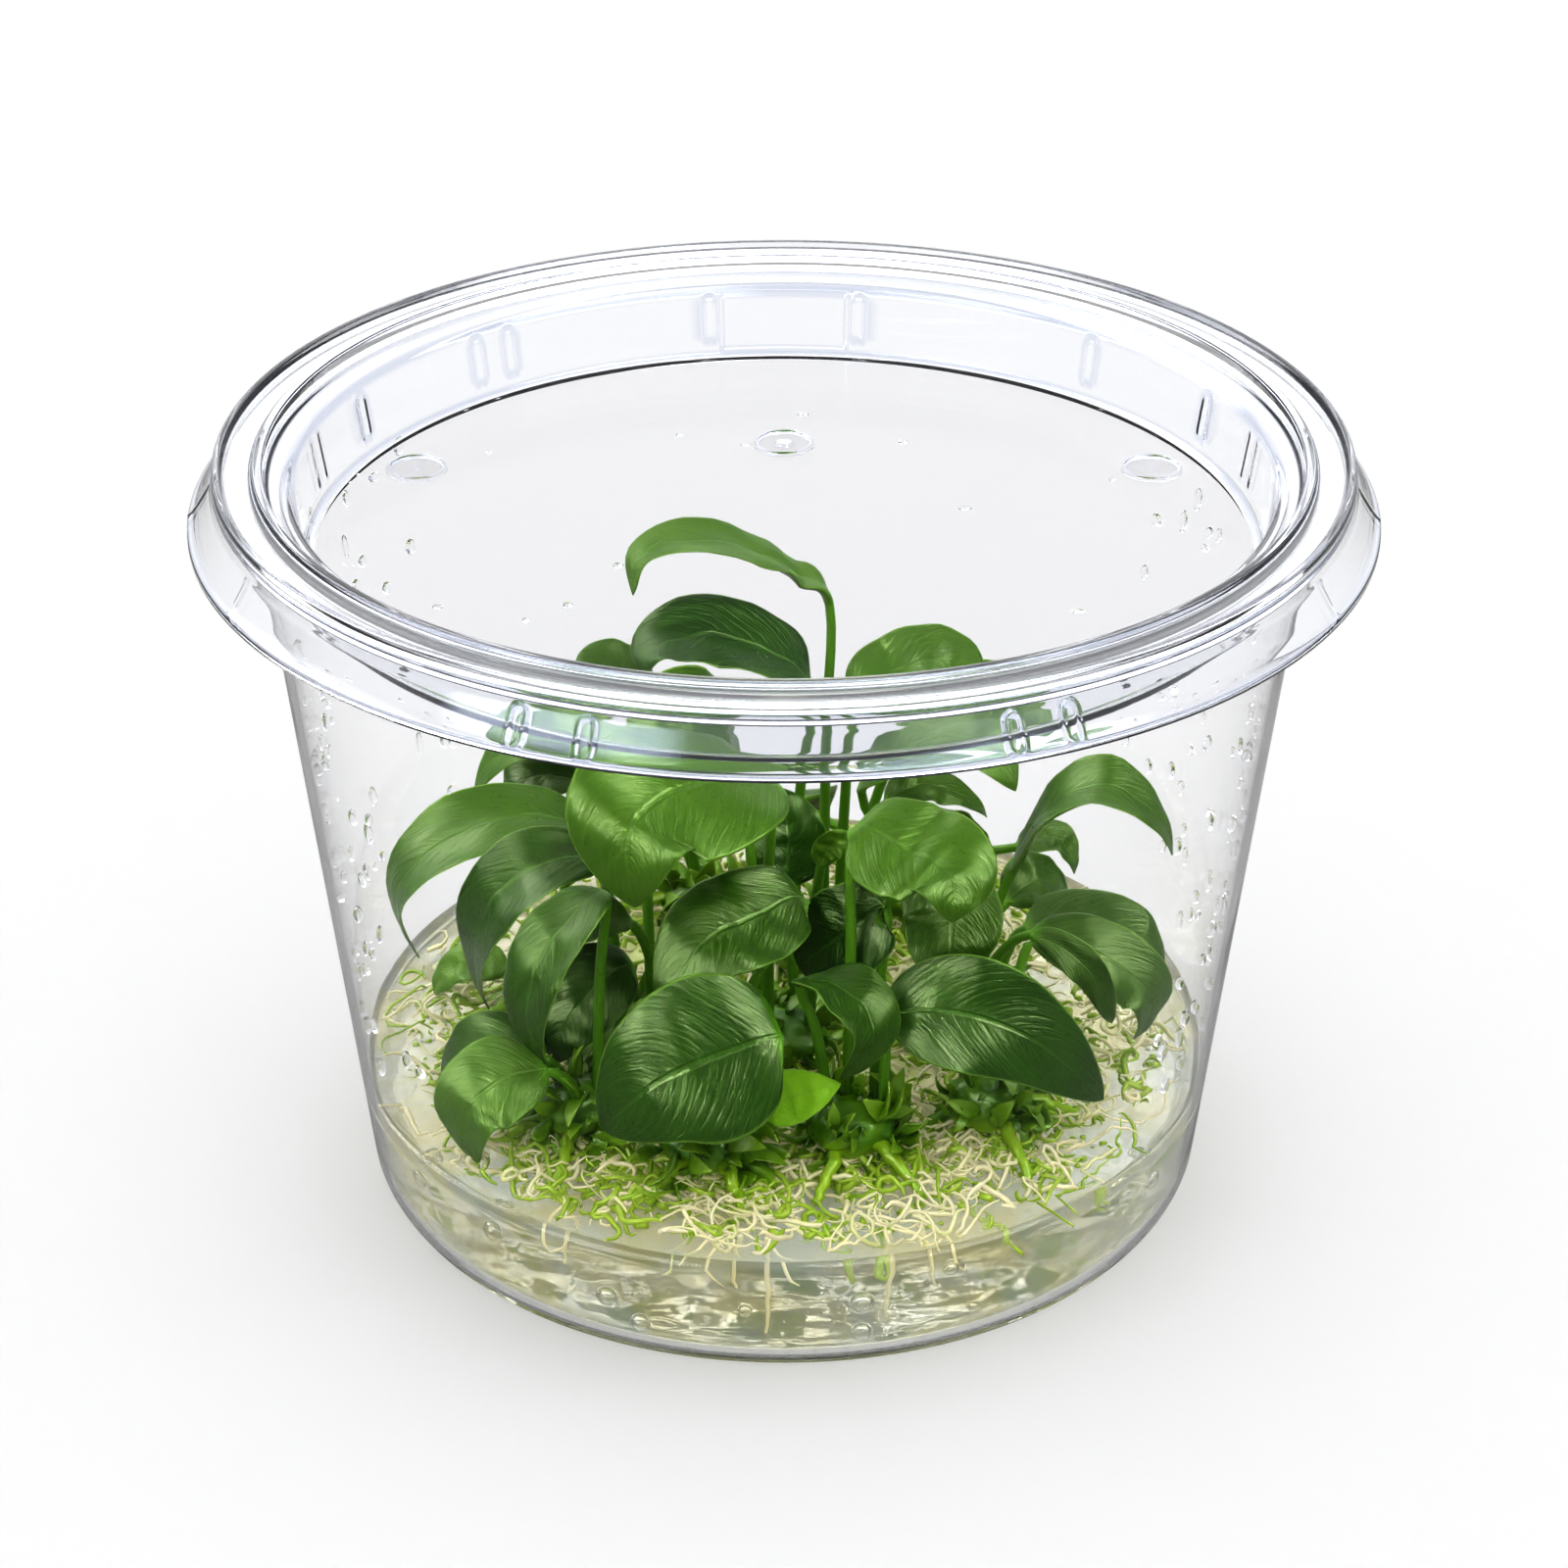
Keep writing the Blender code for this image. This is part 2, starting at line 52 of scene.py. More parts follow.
studio = {
    "floorSize": 8000.0,
    "floorColour": (0.66, 0.66, 0.66),
    "skyTop": (1.54, 1.54, 1.54),
    "skyLow": (0.24, 0.24, 0.24),
    "skyClimb": (0.45, 0.75),
    "mirrorTop": (0.62, 0.62, 0.64),
    "mirrorLow": (0.36, 0.375, 0.43),
    "mirrorSpots": (((-0.60, -0.60, 0.53), 0.92, 0.97, 17.0), ((-0.66, 0.36, 0.66), 0.88, 0.96, 9.0),
                    ((0.0, 0.86, 0.49), 0.84, 0.95, 1.75), ((0.46, -0.33, 0.82), 0.90, 0.97, 22.0)),
    # mirrorFloor: painted shade, the floor's colour scale in what the nearest wall mirrors
    "mirrorFloor": 0.5,
}


def linkedObject(name, mesh):
    obj = bpy.data.objects.new(name, mesh)
    bpy.context.scene.collection.objects.link(obj)
    return obj


def meshObject(name, verts, faces, material, smooth=True):
    mesh = bpy.data.meshes.new(name)
    mesh.from_pydata([tuple(v) for v in verts], [], faces)
    mesh.validate()
    if smooth:
        mesh.shade_smooth()
    mesh.materials.append(material)
    return linkedObject(name, mesh)


def aroundAxis(reach, angle, height):
    # A point in metres, its angle in radians from +X
    return Vector((reach * math.cos(angle), reach * math.sin(angle), height)) * mm


def setPointValues(mesh, name, values):
    layer = mesh.attributes.new(name, "FLOAT", "POINT")
    layer.data.foreach_set("value", np.asarray(values, dtype=np.float32))


def tubeFaces(rings, size):
    # Faces of a tube of rings, both ends capped
    faces = []
    for first in range(0, (rings - 1) * size, size):
        for i in range(size):
            j = (i + 1) % size
            faces.append((first + i, first + j, first + size + j, first + size + i))
    faces.append(tuple(range(size))[::-1])
    faces.append(tuple(range((rings - 1) * size, rings * size)))
    return faces


def faceOutward(mesh):
    bm = bmesh.new()
    bm.from_mesh(mesh)
    inward = bm.calc_volume(signed=True) < 0
    bm.free()
    if inward:
        mesh.flip_normals()


def finishPiece(obj, slotName, *nodes):
    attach(obj, "root")
    if nodes:
        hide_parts(*nodes)


def joinObjects(name, parts):
    # One mesh out of several, materials kept
    bm = bmesh.new()
    materials = []
    for part in parts:
        first = len(bm.faces)
        bm.from_mesh(part.data)
        bm.faces.ensure_lookup_table()
        places = []
        for material in part.data.materials:
            if material not in materials:
                materials.append(material)
            places.append(materials.index(material))
        for face in bm.faces[first:]:
            face.material_index = places[face.material_index]
    mesh = bpy.data.meshes.new(name)
    bm.to_mesh(mesh)
    bm.free()
    for material in materials:
        mesh.materials.append(material)
    for part in parts:
        bpy.data.objects.remove(part, do_unlink=True)
    return linkedObject(name, mesh)


# Shader groups that several materials share

def startGroup(name, inputs, outputs):
    tree = bpy.data.node_groups.new(name, "ShaderNodeTree")
    for label, kind, value in inputs:
        socket = tree.interface.new_socket(label, in_out="INPUT", socket_type=kind)
        if value is not None:
            socket.default_value = value
    for label, kind in outputs:
        tree.interface.new_socket(label, in_out="OUTPUT", socket_type=kind)
    return tree, tree.nodes.new("NodeGroupInput"), tree.nodes.new("NodeGroupOutput")


def feed(tree, socket, value):
    # A socket is linked, anything else becomes the default value
    if isinstance(value, bpy.types.NodeSocket):
        tree.links.new(value, socket)
    elif value is not None:
        socket.default_value = value


def mathNode(tree, operation, first, second=None):
    node = tree.nodes.new("ShaderNodeMath")
    node.operation = operation
    feed(tree, node.inputs[0], first)
    feed(tree, node.inputs[1], second)
    return node.outputs[0]


def times(tree, first, second):
    return mathNode(tree, "MULTIPLY", first, second)


def rangeNode(tree, value, low, high, toLow=0.0, toHigh=1.0):
    node = tree.nodes.new("ShaderNodeMapRange")
    node.interpolation_type = "SMOOTHSTEP"
    tree.links.new(value, node.inputs["Value"])
    for label, number in (("From Min", low), ("From Max", high), ("To Min", toLow), ("To Max", toHigh)):
        node.inputs[label].default_value = number
    return node.outputs["Result"]


def mixColour(tree, factor, first, second):
    node = tree.nodes.new("ShaderNodeMix")
    node.data_type = "RGBA"
    for place, value in ((0, factor), (6, first), (7, second)):
        feed(tree, node.inputs[place], (*value, 1.0) if isinstance(value, tuple) else value)
    return node.outputs[2]


def noiseNode(tree, coords, scale, detail=3.0, roughness=0.5, warp=0.0):
    node = tree.nodes.new("ShaderNodeTexNoise")
    labels = ("Vector", "Scale", "Detail", "Roughness", "Distortion")
    for label, value in zip(labels, (coords, scale, detail, roughness, warp)):
        feed(tree, node.inputs[label], value)
    return node.outputs["Fac"]


def makeMottle():
    # Cloudy mask, scale in turns per metre
    tree, start, end = startGroup("cloudyMottle", (
        ("Coords", "NodeSocketVector", None),
        ("Scale", "NodeSocketFloat", 300.0),
        ("Warp", "NodeSocketFloat", 0.4),
    ), (("Mask", "NodeSocketFloat"),))
    cloud = noiseNode(tree, start.outputs["Coords"], start.outputs["Scale"], 4.0, 0.55, start.outputs["Warp"])
    tree.links.new(rangeNode(tree, cloud, 0.32, 0.68), end.inputs["Mask"])
    return tree


def makeWaver():
    # Soft unevenness of moulded plastic, gel and water
    tree, start, end = startGroup("softWaver", (
        ("Coords", "NodeSocketVector", None),
        ("Scale", "NodeSocketFloat", 60.0),
    ), (("Height", "NodeSocketFloat"),))
    broad = noiseNode(tree, start.outputs["Coords"], start.outputs["Scale"], 1.5, 0.4)
    tree.links.new(broad, end.inputs["Height"])
    return tree


def makeLeafMarks():
    # Midrib, side veins and rim of a blade, from its own across (-1 to 1) and along (0 to 1) values
    tree, start, end = startGroup("leafMarks", (
        ("Across", "NodeSocketFloat", 0.0),
        ("Along", "NodeSocketFloat", 0.0),
        ("Count", "NodeSocketFloat", 16.0),
        ("Coords", "NodeSocketVector", None),
    ), (
        ("Midrib", "NodeSocketFloat"),
        ("Veins", "NodeSocketFloat"),
        ("Rim", "NodeSocketFloat"),
        ("Petiole", "NodeSocketFloat"),
        ("Lean", "NodeSocketFloat"),
    ))
    across = mathNode(tree, "ABSOLUTE", start.outputs["Across"])
    along = start.outputs["Along"]
    blade = rangeNode(tree, along, 0.0, 0.05)
    thin = rangeNode(tree, across, 0.015, 0.06, 1.0, 0.0)
    fade = rangeNode(tree, along, 0.3, 1.0, 1.0, 0.35)
    midrib = times(tree, times(tree, thin, fade), blade)
    tree.links.new(midrib, end.inputs["Midrib"])
    wander = times(tree, noiseNode(tree, start.outputs["Coords"], 260.0, 2.0), 0.35)
    sweep = times(tree, mathNode(tree, "POWER", across, 1.4), 0.34)
    lean = mathNode(tree, "SUBTRACT", along, sweep)
    tree.links.new(lean, end.inputs["Lean"])
    turns = mathNode(tree, "ADD", times(tree, lean, start.outputs["Count"]), wander)
    wave = mathNode(tree, "SINE", times(tree, turns, math.tau))
    veins = times(tree, rangeNode(tree, wave, 0.55, 1.0), blade)
    clear = rangeNode(tree, across, 0.04, 0.16)
    tree.links.new(times(tree, veins, clear), end.inputs["Veins"])
    rim = times(tree, rangeNode(tree, across, 0.945, 0.99), blade)
    tree.links.new(rim, end.inputs["Rim"])
    tree.links.new(rangeNode(tree, along, 0.0, 0.1, 1.0, 0.0), end.inputs["Petiole"])
    return tree


mottleGroup = makeMottle()
waverGroup = makeWaver()
leafMarksGroup = makeLeafMarks()


def startMaterial(name):
    material = bpy.data.materials.new(name)
    material.use_nodes = True
    tree = material.node_tree
    shader = tree.nodes["Principled BSDF"]
    coords = tree.nodes.new("ShaderNodeTexCoord").outputs["Object"]
    return material, tree, shader, coords


def placeGroup(tree, group, coords, **values):
    node = tree.nodes.new("ShaderNodeGroup")
    node.node_tree = group
    for label, value in {"Coords": coords, **values}.items():
        feed(tree, node.inputs[label], value)
    return node


def addBump(tree, shader, height, strength, distance):
    bump = tree.nodes.new("ShaderNodeBump")
    bump.inputs["Strength"].default_value = strength
    bump.inputs["Distance"].default_value = distance * mm
    tree.links.new(height, bump.inputs["Height"])
    tree.links.new(bump.outputs["Normal"], shader.inputs["Normal"])


def pointValue(tree, name):
    node = tree.nodes.new("ShaderNodeAttribute")
    node.attribute_name = name
    return node.outputs["Fac"]


def letLightThrough(tree, shader, tint):
    # Lamps and the bounced light of the studio pass straight through clear walls
    path = tree.nodes.new("ShaderNodeLightPath")
    either = mathNode(tree, "MAXIMUM", path.outputs["Is Shadow Ray"], path.outputs["Is Diffuse Ray"])
    clear = tree.nodes.new("ShaderNodeBsdfTransparent")
    clear.inputs["Color"].default_value = (*tint, 1.0)
    mix = tree.nodes.new("ShaderNodeMixShader")
    tree.links.new(either, mix.inputs[0])
    tree.links.new(shader.outputs[0], mix.inputs[1])
    tree.links.new(clear.outputs[0], mix.inputs[2])
    tree.links.new(mix.outputs[0], tree.nodes["Material Output"].inputs["Surface"])


def clearMaterial(name, look):
    material, tree, shader, coords = startMaterial(name)
    shader.inputs["Base Color"].default_value = (*look["tint"], 1.0)
    shader.inputs["Roughness"].default_value = look["roughness"]
    shader.inputs["IOR"].default_value = look["ior"]
    shader.inputs["Transmission Weight"].default_value = look["clearness"]
    shader.inputs["Specular Tint"].default_value = (*look["glint"], 1.0)
    if "patch" in look:
        patches = placeGroup(tree, mottleGroup, coords, Scale=look["patchScale"], Warp=look["patchWarp"])
        colour = mixColour(tree, patches.outputs["Mask"], look["tint"], look["patch"])
        tree.links.new(colour, shader.inputs["Base Color"])
    # line: painted shade, the tint darkened along sharp moulded corners where refraction and reflection draw
    # lines
    if "line" in look:
        colour = mixColour(tree, pointValue(tree, "edge"), look["tint"], look["line"])
        tree.links.new(colour, shader.inputs["Base Color"])
    if "relief" in look:
        waver = placeGroup(tree, waverGroup, coords, Scale=look["waver"])
        addBump(tree, shader, waver.outputs["Height"], 0.3, look["relief"])
    letLightThrough(tree, shader, look["shadow"])
    return material


def leafMaterial(name, look):
    material, tree, shader, coords = startMaterial(name)
    across = pointValue(tree, "across")
    along = pointValue(tree, "along")
    tone = pointValue(tree, "tone")
    marks = placeGroup(tree, leafMarksGroup, coords, Across=across, Along=along, Count=look["veins"])
    mottle = placeGroup(tree, mottleGroup, coords, Scale=look["mottle"])
    colour = mixColour(tree, tone, look["deep"], look["light"])
    colour = mixColour(tree, times(tree, mottle.outputs["Mask"], 0.35), colour, look["fresh"])
    for mark, share, paint in look["marks"]:
        colour = mixColour(tree, times(tree, marks.outputs[mark], share), colour, look[paint])
    tree.links.new(colour, shader.inputs["Base Color"])
    streaks = tree.nodes.new("ShaderNodeCombineXYZ")
    tree.links.new(times(tree, across, 1.2), streaks.inputs[0])
    tree.links.new(times(tree, marks.outputs["Lean"], 11.0), streaks.inputs[1])
    tree.links.new(tone, streaks.inputs[2])
    crease = noiseNode(tree, streaks.outputs[0], 2.4, 3.0, 0.6, 0.5)
    pores = noiseNode(tree, coords, look["pores"], 3.0, 0.6, 0.8)
    roughness = rangeNode(tree, pores, 0.3, 0.7, look["gloss"] - 0.06, look["gloss"] + 0.1)
    tree.links.new(roughness, shader.inputs["Roughness"])
    height = mathNode(tree, "ADD", crease, times(tree, pores, 0.1))
    for mark, depth in look["depths"]:
        height = mathNode(tree, "SUBTRACT", height, times(tree, marks.outputs[mark], depth))
    addBump(tree, shader, height, 0.55, look["relief"])
    shader.inputs["Specular IOR Level"].default_value = look["shine"]
    shader.inputs["Specular Tint"].default_value = (*look["sheen"], 1.0)
    return material


def growthMaterial(name, look):
    # Roots, stems and sprouts: pale to green by each strand's tone, cloudy on top
    material, tree, shader, coords = startMaterial(name)
    tone = pointValue(tree, "tone")
    mottle = placeGroup(tree, mottleGroup, coords, Scale=look["mottle"])
    colour = mixColour(tree, tone, look["pale"], look["green"])
    share = times(tree, mottle.outputs["Mask"], look["cloud"])
    colour = mixColour(tree, share, colour, look["third"])
    tree.links.new(colour, shader.inputs["Base Color"])
    shader.inputs["Roughness"].default_value = look["gloss"]
    pores = noiseNode(tree, coords, look["pores"], 3.0, 0.6, 0.5)
    addBump(tree, shader, pores, 0.5, look["relief"])
    return material


plasticShadow = (0.975, 0.976, 0.98)

# Each line colour is painted shade along the sharp corners of the clear plastic
clearLooks = {
    "clearPlastic": {
        "tint": (0.98, 0.98, 0.985), "line": (0.74, 0.76, 0.81), "glint": (0.02, 0.02, 0.02),
        "roughness": 0.02, "ior": 1.27, "clearness": 1.0, "waver": 55.0, "relief": 0.25,
        "shadow": plasticShadow,
    },
    "panelPlastic": {
        "tint": (0.90, 0.90, 0.91), "line": (0.58, 0.62, 0.74), "glint": (0.1, 0.1, 0.1),
        "roughness": 0.02, "ior": 1.04, "clearness": 1.0, "waver": 55.0, "relief": 0.25,
        "shadow": plasticShadow,
    },
    "rimPlastic": {
        "tint": (0.97, 0.978, 1.0), "line": (0.72, 0.76, 0.88), "glint": (0.25, 0.28, 0.36),
        "roughness": 0.015, "ior": 1.44, "clearness": 0.98, "waver": 55.0, "relief": 0.2,
        "shadow": plasticShadow,
    },
    "gelClear": {
        "tint": (1.0, 0.94, 0.60), "patch": (0.93, 0.97, 0.92), "glint": (0.6, 0.6, 0.6),
        "patchScale": 75.0, "patchWarp": 1.2, "roughness": 0.02, "ior": 1.345, "waver": 150.0, "relief": 0.7,
        "shadow": (0.99, 0.985, 0.95), "clearness": 0.79,
    },
    "waterDrops": {
        "tint": (0.975, 0.975, 0.98), "glint": (0.3, 0.3, 0.3), "roughness": 0.0, "ior": 1.38,
        "shadow": (0.98, 0.98, 0.98), "clearness": 1.0,
    },
    # The bubbles' grey tint is painted shade that darkens them; the air in them has no colour
    "bubbleAir": {
        "tint": (0.90, 0.90, 0.86), "glint": (1.0, 1.0, 1.0), "roughness": 0.0, "ior": 0.72,
        "shadow": (0.98, 0.98, 0.98), "clearness": 1.0,
    },
}

clearPlastic, panelPlastic, rimPlastic, gelClear, waterDrops, bubbleAir = (
    clearMaterial(name, look) for name, look in clearLooks.items())

bladeMarks = {
    "marks": (
        ("Veins", 0.06, "vein"), ("Midrib", 0.3, "vein"), ("Rim", 0.75, "rim"), ("Petiole", 1.0, "petiole")),
    "depths": (("Veins", 0.12), ("Midrib", 0.6)),
    "pores": 2600.0,
}
leafGreen = leafMaterial("leafGreen", {
    **bladeMarks,
    "deep": (0.009, 0.048, 0.0005), "light": (0.13, 0.28, 0.015), "fresh": (0.034, 0.115, 0.002),
    "vein": (0.10, 0.25, 0.03), "rim": (0.20, 0.38, 0.05), "petiole": (0.13, 0.33, 0.015),
    "veins": 15.0, "mottle": 240.0, "gloss": 0.32, "relief": 0.17, "shine": 0.36, "sheen": (0.92, 1.0, 0.62),
})
leafLime = leafMaterial("leafLime", {
    **bladeMarks,
    "deep": (0.20, 0.50, 0.015), "light": (0.38, 0.68, 0.05), "fresh": (0.30, 0.60, 0.02),
    "vein": (0.30, 0.52, 0.10), "rim": (0.40, 0.60, 0.15), "petiole": (0.16, 0.36, 0.03),
    "veins": 12.0, "mottle": 300.0, "gloss": 0.3, "relief": 0.1, "shine": 0.3, "sheen": (0.8, 1.0, 0.5),
})
rootCream = growthMaterial("rootCream", {
    "pale": (0.93, 0.86, 0.50), "green": (0.36, 0.58, 0.02), "third": (0.95, 0.91, 0.68),
    "cloud": 0.5, "mottle": 350.0, "pores": 1500.0, "gloss": 0.35, "relief": 0.08,
})
rootGreen = growthMaterial("rootGreen", {
    "pale": (0.66, 0.74, 0.16), "green": (0.28, 0.48, 0.02), "third": (0.52, 0.66, 0.06),
    "cloud": 0.5, "mottle": 350.0, "pores": 1500.0, "gloss": 0.35, "relief": 0.08,
})
stemGreen = growthMaterial("stemGreen", {
    "pale": (0.40, 0.60, 0.02), "green": (0.055, 0.19, 0.002), "third": (0.20, 0.40, 0.008),
    "cloud": 0.6, "mottle": 260.0, "pores": 1400.0, "gloss": 0.36, "relief": 0.15,
})
print("materials ready")


# Turned shells: cup, lid and gel

def roundedPath(points, steps=4, beside=0.0):
    # Corner rows are (radius from the axis, height, rounding), beside the distance of a row kept next to each
    path = []
    for k, (r, z, rounding) in enumerate(points):
        here = Vector((r, z))
        if k in (0, len(points) - 1) or rounding <= 0:
            path.append(here)
            continue
        back = Vector(points[k - 1][:2]) - here
        on = Vector(points[k + 1][:2]) - here
        cut = min(rounding, 0.45 * back.length, 0.45 * on.length)
        first = here + back.normalized() * cut
        last = here + on.normalized() * cut
        if 0 < beside < 0.45 * back.length - cut:
            path.append(first + back.normalized() * beside)
        for step in range(steps + 1):
            t = step / steps
            path.append((1 - t) ** 2 * first + 2 * t * (1 - t) * here + t * t * last)
        if 0 < beside < 0.45 * on.length - cut:
            path.append(last + on.normalized() * beside)
    return path


def refinedPath(path, spacing):
    # spacing gives the longest step allowed at a point
    fine = [path[0]]
    for first, last in zip(path, path[1:]):
        count = max(1, math.ceil((last - first).length / spacing((first + last) / 2)))
        for step in range(1, count + 1):
            fine.append(first.lerp(last, step / count))
    return fine


def turnedShell(name, path, angles, material, lift=None):
    # Turns a path that starts and ends on the axis, walking with its outer side on the left
    turns = np.radians(np.array(angles))
    way = np.stack((np.sin(turns), -np.cos(turns)), 1)
    verts = []
    rows = []
    for k, here in enumerate(path):
        if here.x < 1e-6:
            rows.append([len(verts)])
            verts.append((0.0, 0.0, here.y))
            continue
        ahead = path[min(k + 1, len(path) - 1)] - path[max(k - 1, 0)]
        side = Vector((-ahead.y, ahead.x)).normalized()
        rise = np.zeros(len(turns))
        if lift is not None:
            rise = lift(np.array(angles), here.x, here.y)
        rows.append(list(range(len(verts), len(verts) + len(turns))))
        radius = here.x + side.x * rise
        height = here.y + side.y * rise
        verts += list(zip(way[:, 0] * radius, way[:, 1] * radius, height))
    faces = []
    count = len(turns)
    for low, high in zip(rows, rows[1:]):
        for j in range(count):
            i = (j + 1) % count
            if len(low) == 1:
                faces.append((low[0], high[j], high[i]))
            elif len(high) == 1:
                faces.append((low[j], high[0], low[i]))
            else:
                faces.append((low[j], high[j], high[i], low[i]))
    return meshObject(name, np.array(verts) * mm, faces, material)


def markEdges(mesh, low, high):
    # edge is 1 where the surface turns sharply, as at a moulded corner; the clear materials darken their tint
    # there, painted shade for the lines that refraction and reflection draw along the corners
    bm = bmesh.new()
    bm.from_mesh(mesh)
    turn = [0.0] * len(bm.verts)
    for edge in bm.edges:
        angle = math.degrees(edge.calc_face_angle(0.0))
        if angle > low:
            share = min(1.0, (angle - low) / (high - low))
            for vert in edge.verts:
                turn[vert.index] = max(turn[vert.index], share)
    bm.free()
    setPointValues(mesh, "edge", turn)


def evenAngles(count):
    return [360.0 * k / count for k in range(count)]


cupShape = {
    "footRadius": 41.0,
    "slope": 0.111,
    "wall": 0.8,
    "floor": 0.9,
    "height": 73.7,
    "flangeUnder": 72.5,
    "flangeRadius": 51.5,
    "footRing": 38.2,
    "footHollow": 0.35,
    "columns": 200,
}


def outerRadius(z):
    return cupShape["footRadius"] + cupShape["slope"] * z


def innerRadius(z):
    return outerRadius(z) - cupShape["wall"]


def buildCup():
    c = cupShape
    points = [
        (0, c["floor"], 0), (innerRadius(c["floor"]) - 0.3, c["floor"], 1.0),
        (innerRadius(c["floor"] + 1.6), c["floor"] + 1.6, 0.8),
        (innerRadius(c["height"]), c["height"], 0.3), (c["flangeRadius"], c["height"], 0.35),
        (c["flangeRadius"], c["flangeUnder"], 0.35), (outerRadius(c["flangeUnder"]), c["flangeUnder"], 0.4),
        (outerRadius(1.6), 1.6, 0.9), (c["footRadius"] - 0.9, 0, 0.6),
        (c["footRing"], 0, 0.3), (c["footRing"] - 0.6, c["footHollow"], 0.3), (0, c["footHollow"], 0),
    ]
    path = refinedPath(roundedPath(points, 4, 0.3), lambda p: 6.0)
    cup = turnedShell("cupClear", path, evenAngles(c["columns"]), clearPlastic)
    markEdges(cup.data, 8.0, 20.0)
    finishPiece(cup, "clear_plastic", "cup")


lidShape = {
    "thickness": 0.7,
    "panelTop": 65.9,
    "panelRadius": 44.3,
    "shelfRadius": 45.4,
    "shelfTop": 72.9,
    "ridgeInner": 47.6,
    "ridgeOuter": 48.8,
    "channelTop": 74.7,
    "top": 75.2,
    "ringRadius": 52.5,
    "ringFoot": 72.8,
    "skirtRadius": 55.0,
    "skirtFoot": 69.2,
    "loopAngles": (-24.0, -17.5, 20.5, 26.0),
    "finAngles": (-85.0, -62.0, 61.5, 84.0),
    "wallLoops": (-137.0, -142.0, -114.7, 114.7, 137.0, 170.2, -170.2),
    "wallBars": (99.5, 102.5, -99.5, -102.5),
    "tabHalf": 8.3,
    "vents": ((-35.5, 14.5, 0.25), (0.0, 20.5, 0.8), (35.5, 14.5, 0.25)),
    "relief": 0.2,
    "loopRadius": 0.72,
    "loopWidth": 0.2,
    "finWidth": 0.45,
    "tabLift": 0.7,
    "tabFoot": 66.3,
    "skirtMarks": (71.3, 0.95, 1.15),
    "wallMarks": (69.6, 1.6, 1.0),
    "columns": 200,
    "markColumns": 9,
    "markStep": 0.145,
}


def lidAngles():
    # Even columns, closer ones at each moulded mark
    s = lidShape
    marks = s["loopAngles"] + s["finAngles"] + s["wallLoops"] + s["wallBars"]
    marks += (180.0 - s["tabHalf"], 180.0 + s["tabHalf"])
    angles = set(round(a, 3) for a in evenAngles(s["columns"]))
    for mark in marks:
        for step in range(-s["markColumns"], s["markColumns"] + 1):
            angles.add(round((mark + s["markStep"] * step) % 360.0, 3))
    rows = sorted(angles)
    return [a for a, b in zip(rows, rows[1:] + [rows[0] + 360.0]) if b - a > 0.04]


def lidLift(angles, r, z):
    # Height of the moulded marks; skirtMarks and wallMarks hold their middle height, reach and stretch
    s = lidShape
    rise = np.zeros(len(angles))
    skirt = r > s["ringRadius"] + 0.2 and s["skirtFoot"] + 0.6 < z < s["ringFoot"] + 0.5
    wall = s["panelRadius"] - 0.1 < r < s["shelfRadius"] + 0.1 and s["panelTop"] < z < s["shelfTop"] + 0.1
    if not skirt and not wall:
        return rise
    middle, reach, stretch = s["skirtMarks"] if skirt else s["wallMarks"]

    def away(mark):
        return ((angles - mark + 180.0) % 360.0 - 180.0) * math.pi / 180.0 * r

    high = abs(z - middle) * stretch
    for mark in (s["loopAngles"] if skirt else s["wallLoops"]):
        ring = np.hypot(away(mark), max(high - reach, 0.0)) - s["loopRadius"]
        rise += s["relief"] * np.exp(-(ring / s["loopWidth"]) ** 2)
    window = 1.0 if high < reach + 0.8 else 0.0
    for mark in (s["finAngles"] if skirt else s["wallBars"]):
        rise += 0.5 * s["relief"] * window * np.exp(-(away(mark) / s["finWidth"]) ** 2)
    if wall and z < s["shelfTop"] - 0.7:
        edge = s["tabHalf"] * math.pi / 180.0 * r - np.abs(away(180.0))
        climb = min(1.0, max(0.0, (z - s["tabFoot"]) / 0.4))
        rise += s["tabLift"] * np.clip(edge / 0.35 + 0.5, 0.0, 1.0) * climb
    return rise


def ventRing(name, x, y, dot):
    # A low moulded ring with a small pip in its middle
    outline = [(0, 0.34, 0), (dot, 0.34, 0.1), (dot + 0.15, 0.06, 0.1), (2.45, 0.06, 0.1), (2.55, 0.42, 0.12),
               (2.85, 0.42, 0.12), (3.0, 0.0, 0.05), (0, 0.0, 0)]
    ring = turnedShell(name, roundedPath(outline, 3, 0.12), evenAngles(48), panelPlastic)
    ring.data.materials.append(rimPlastic)
    for face in ring.data.polygons:
        reach = math.hypot(face.center.x, face.center.y) / mm
        face.material_index = int(reach > 2.4 or dot < 0.9 and reach < dot + 0.2)
    for vert in ring.data.vertices:
        vert.co.x += x * mm
        vert.co.y += y * mm
        vert.co.z += (lidShape["panelTop"] + 0.03) * mm
    return ring


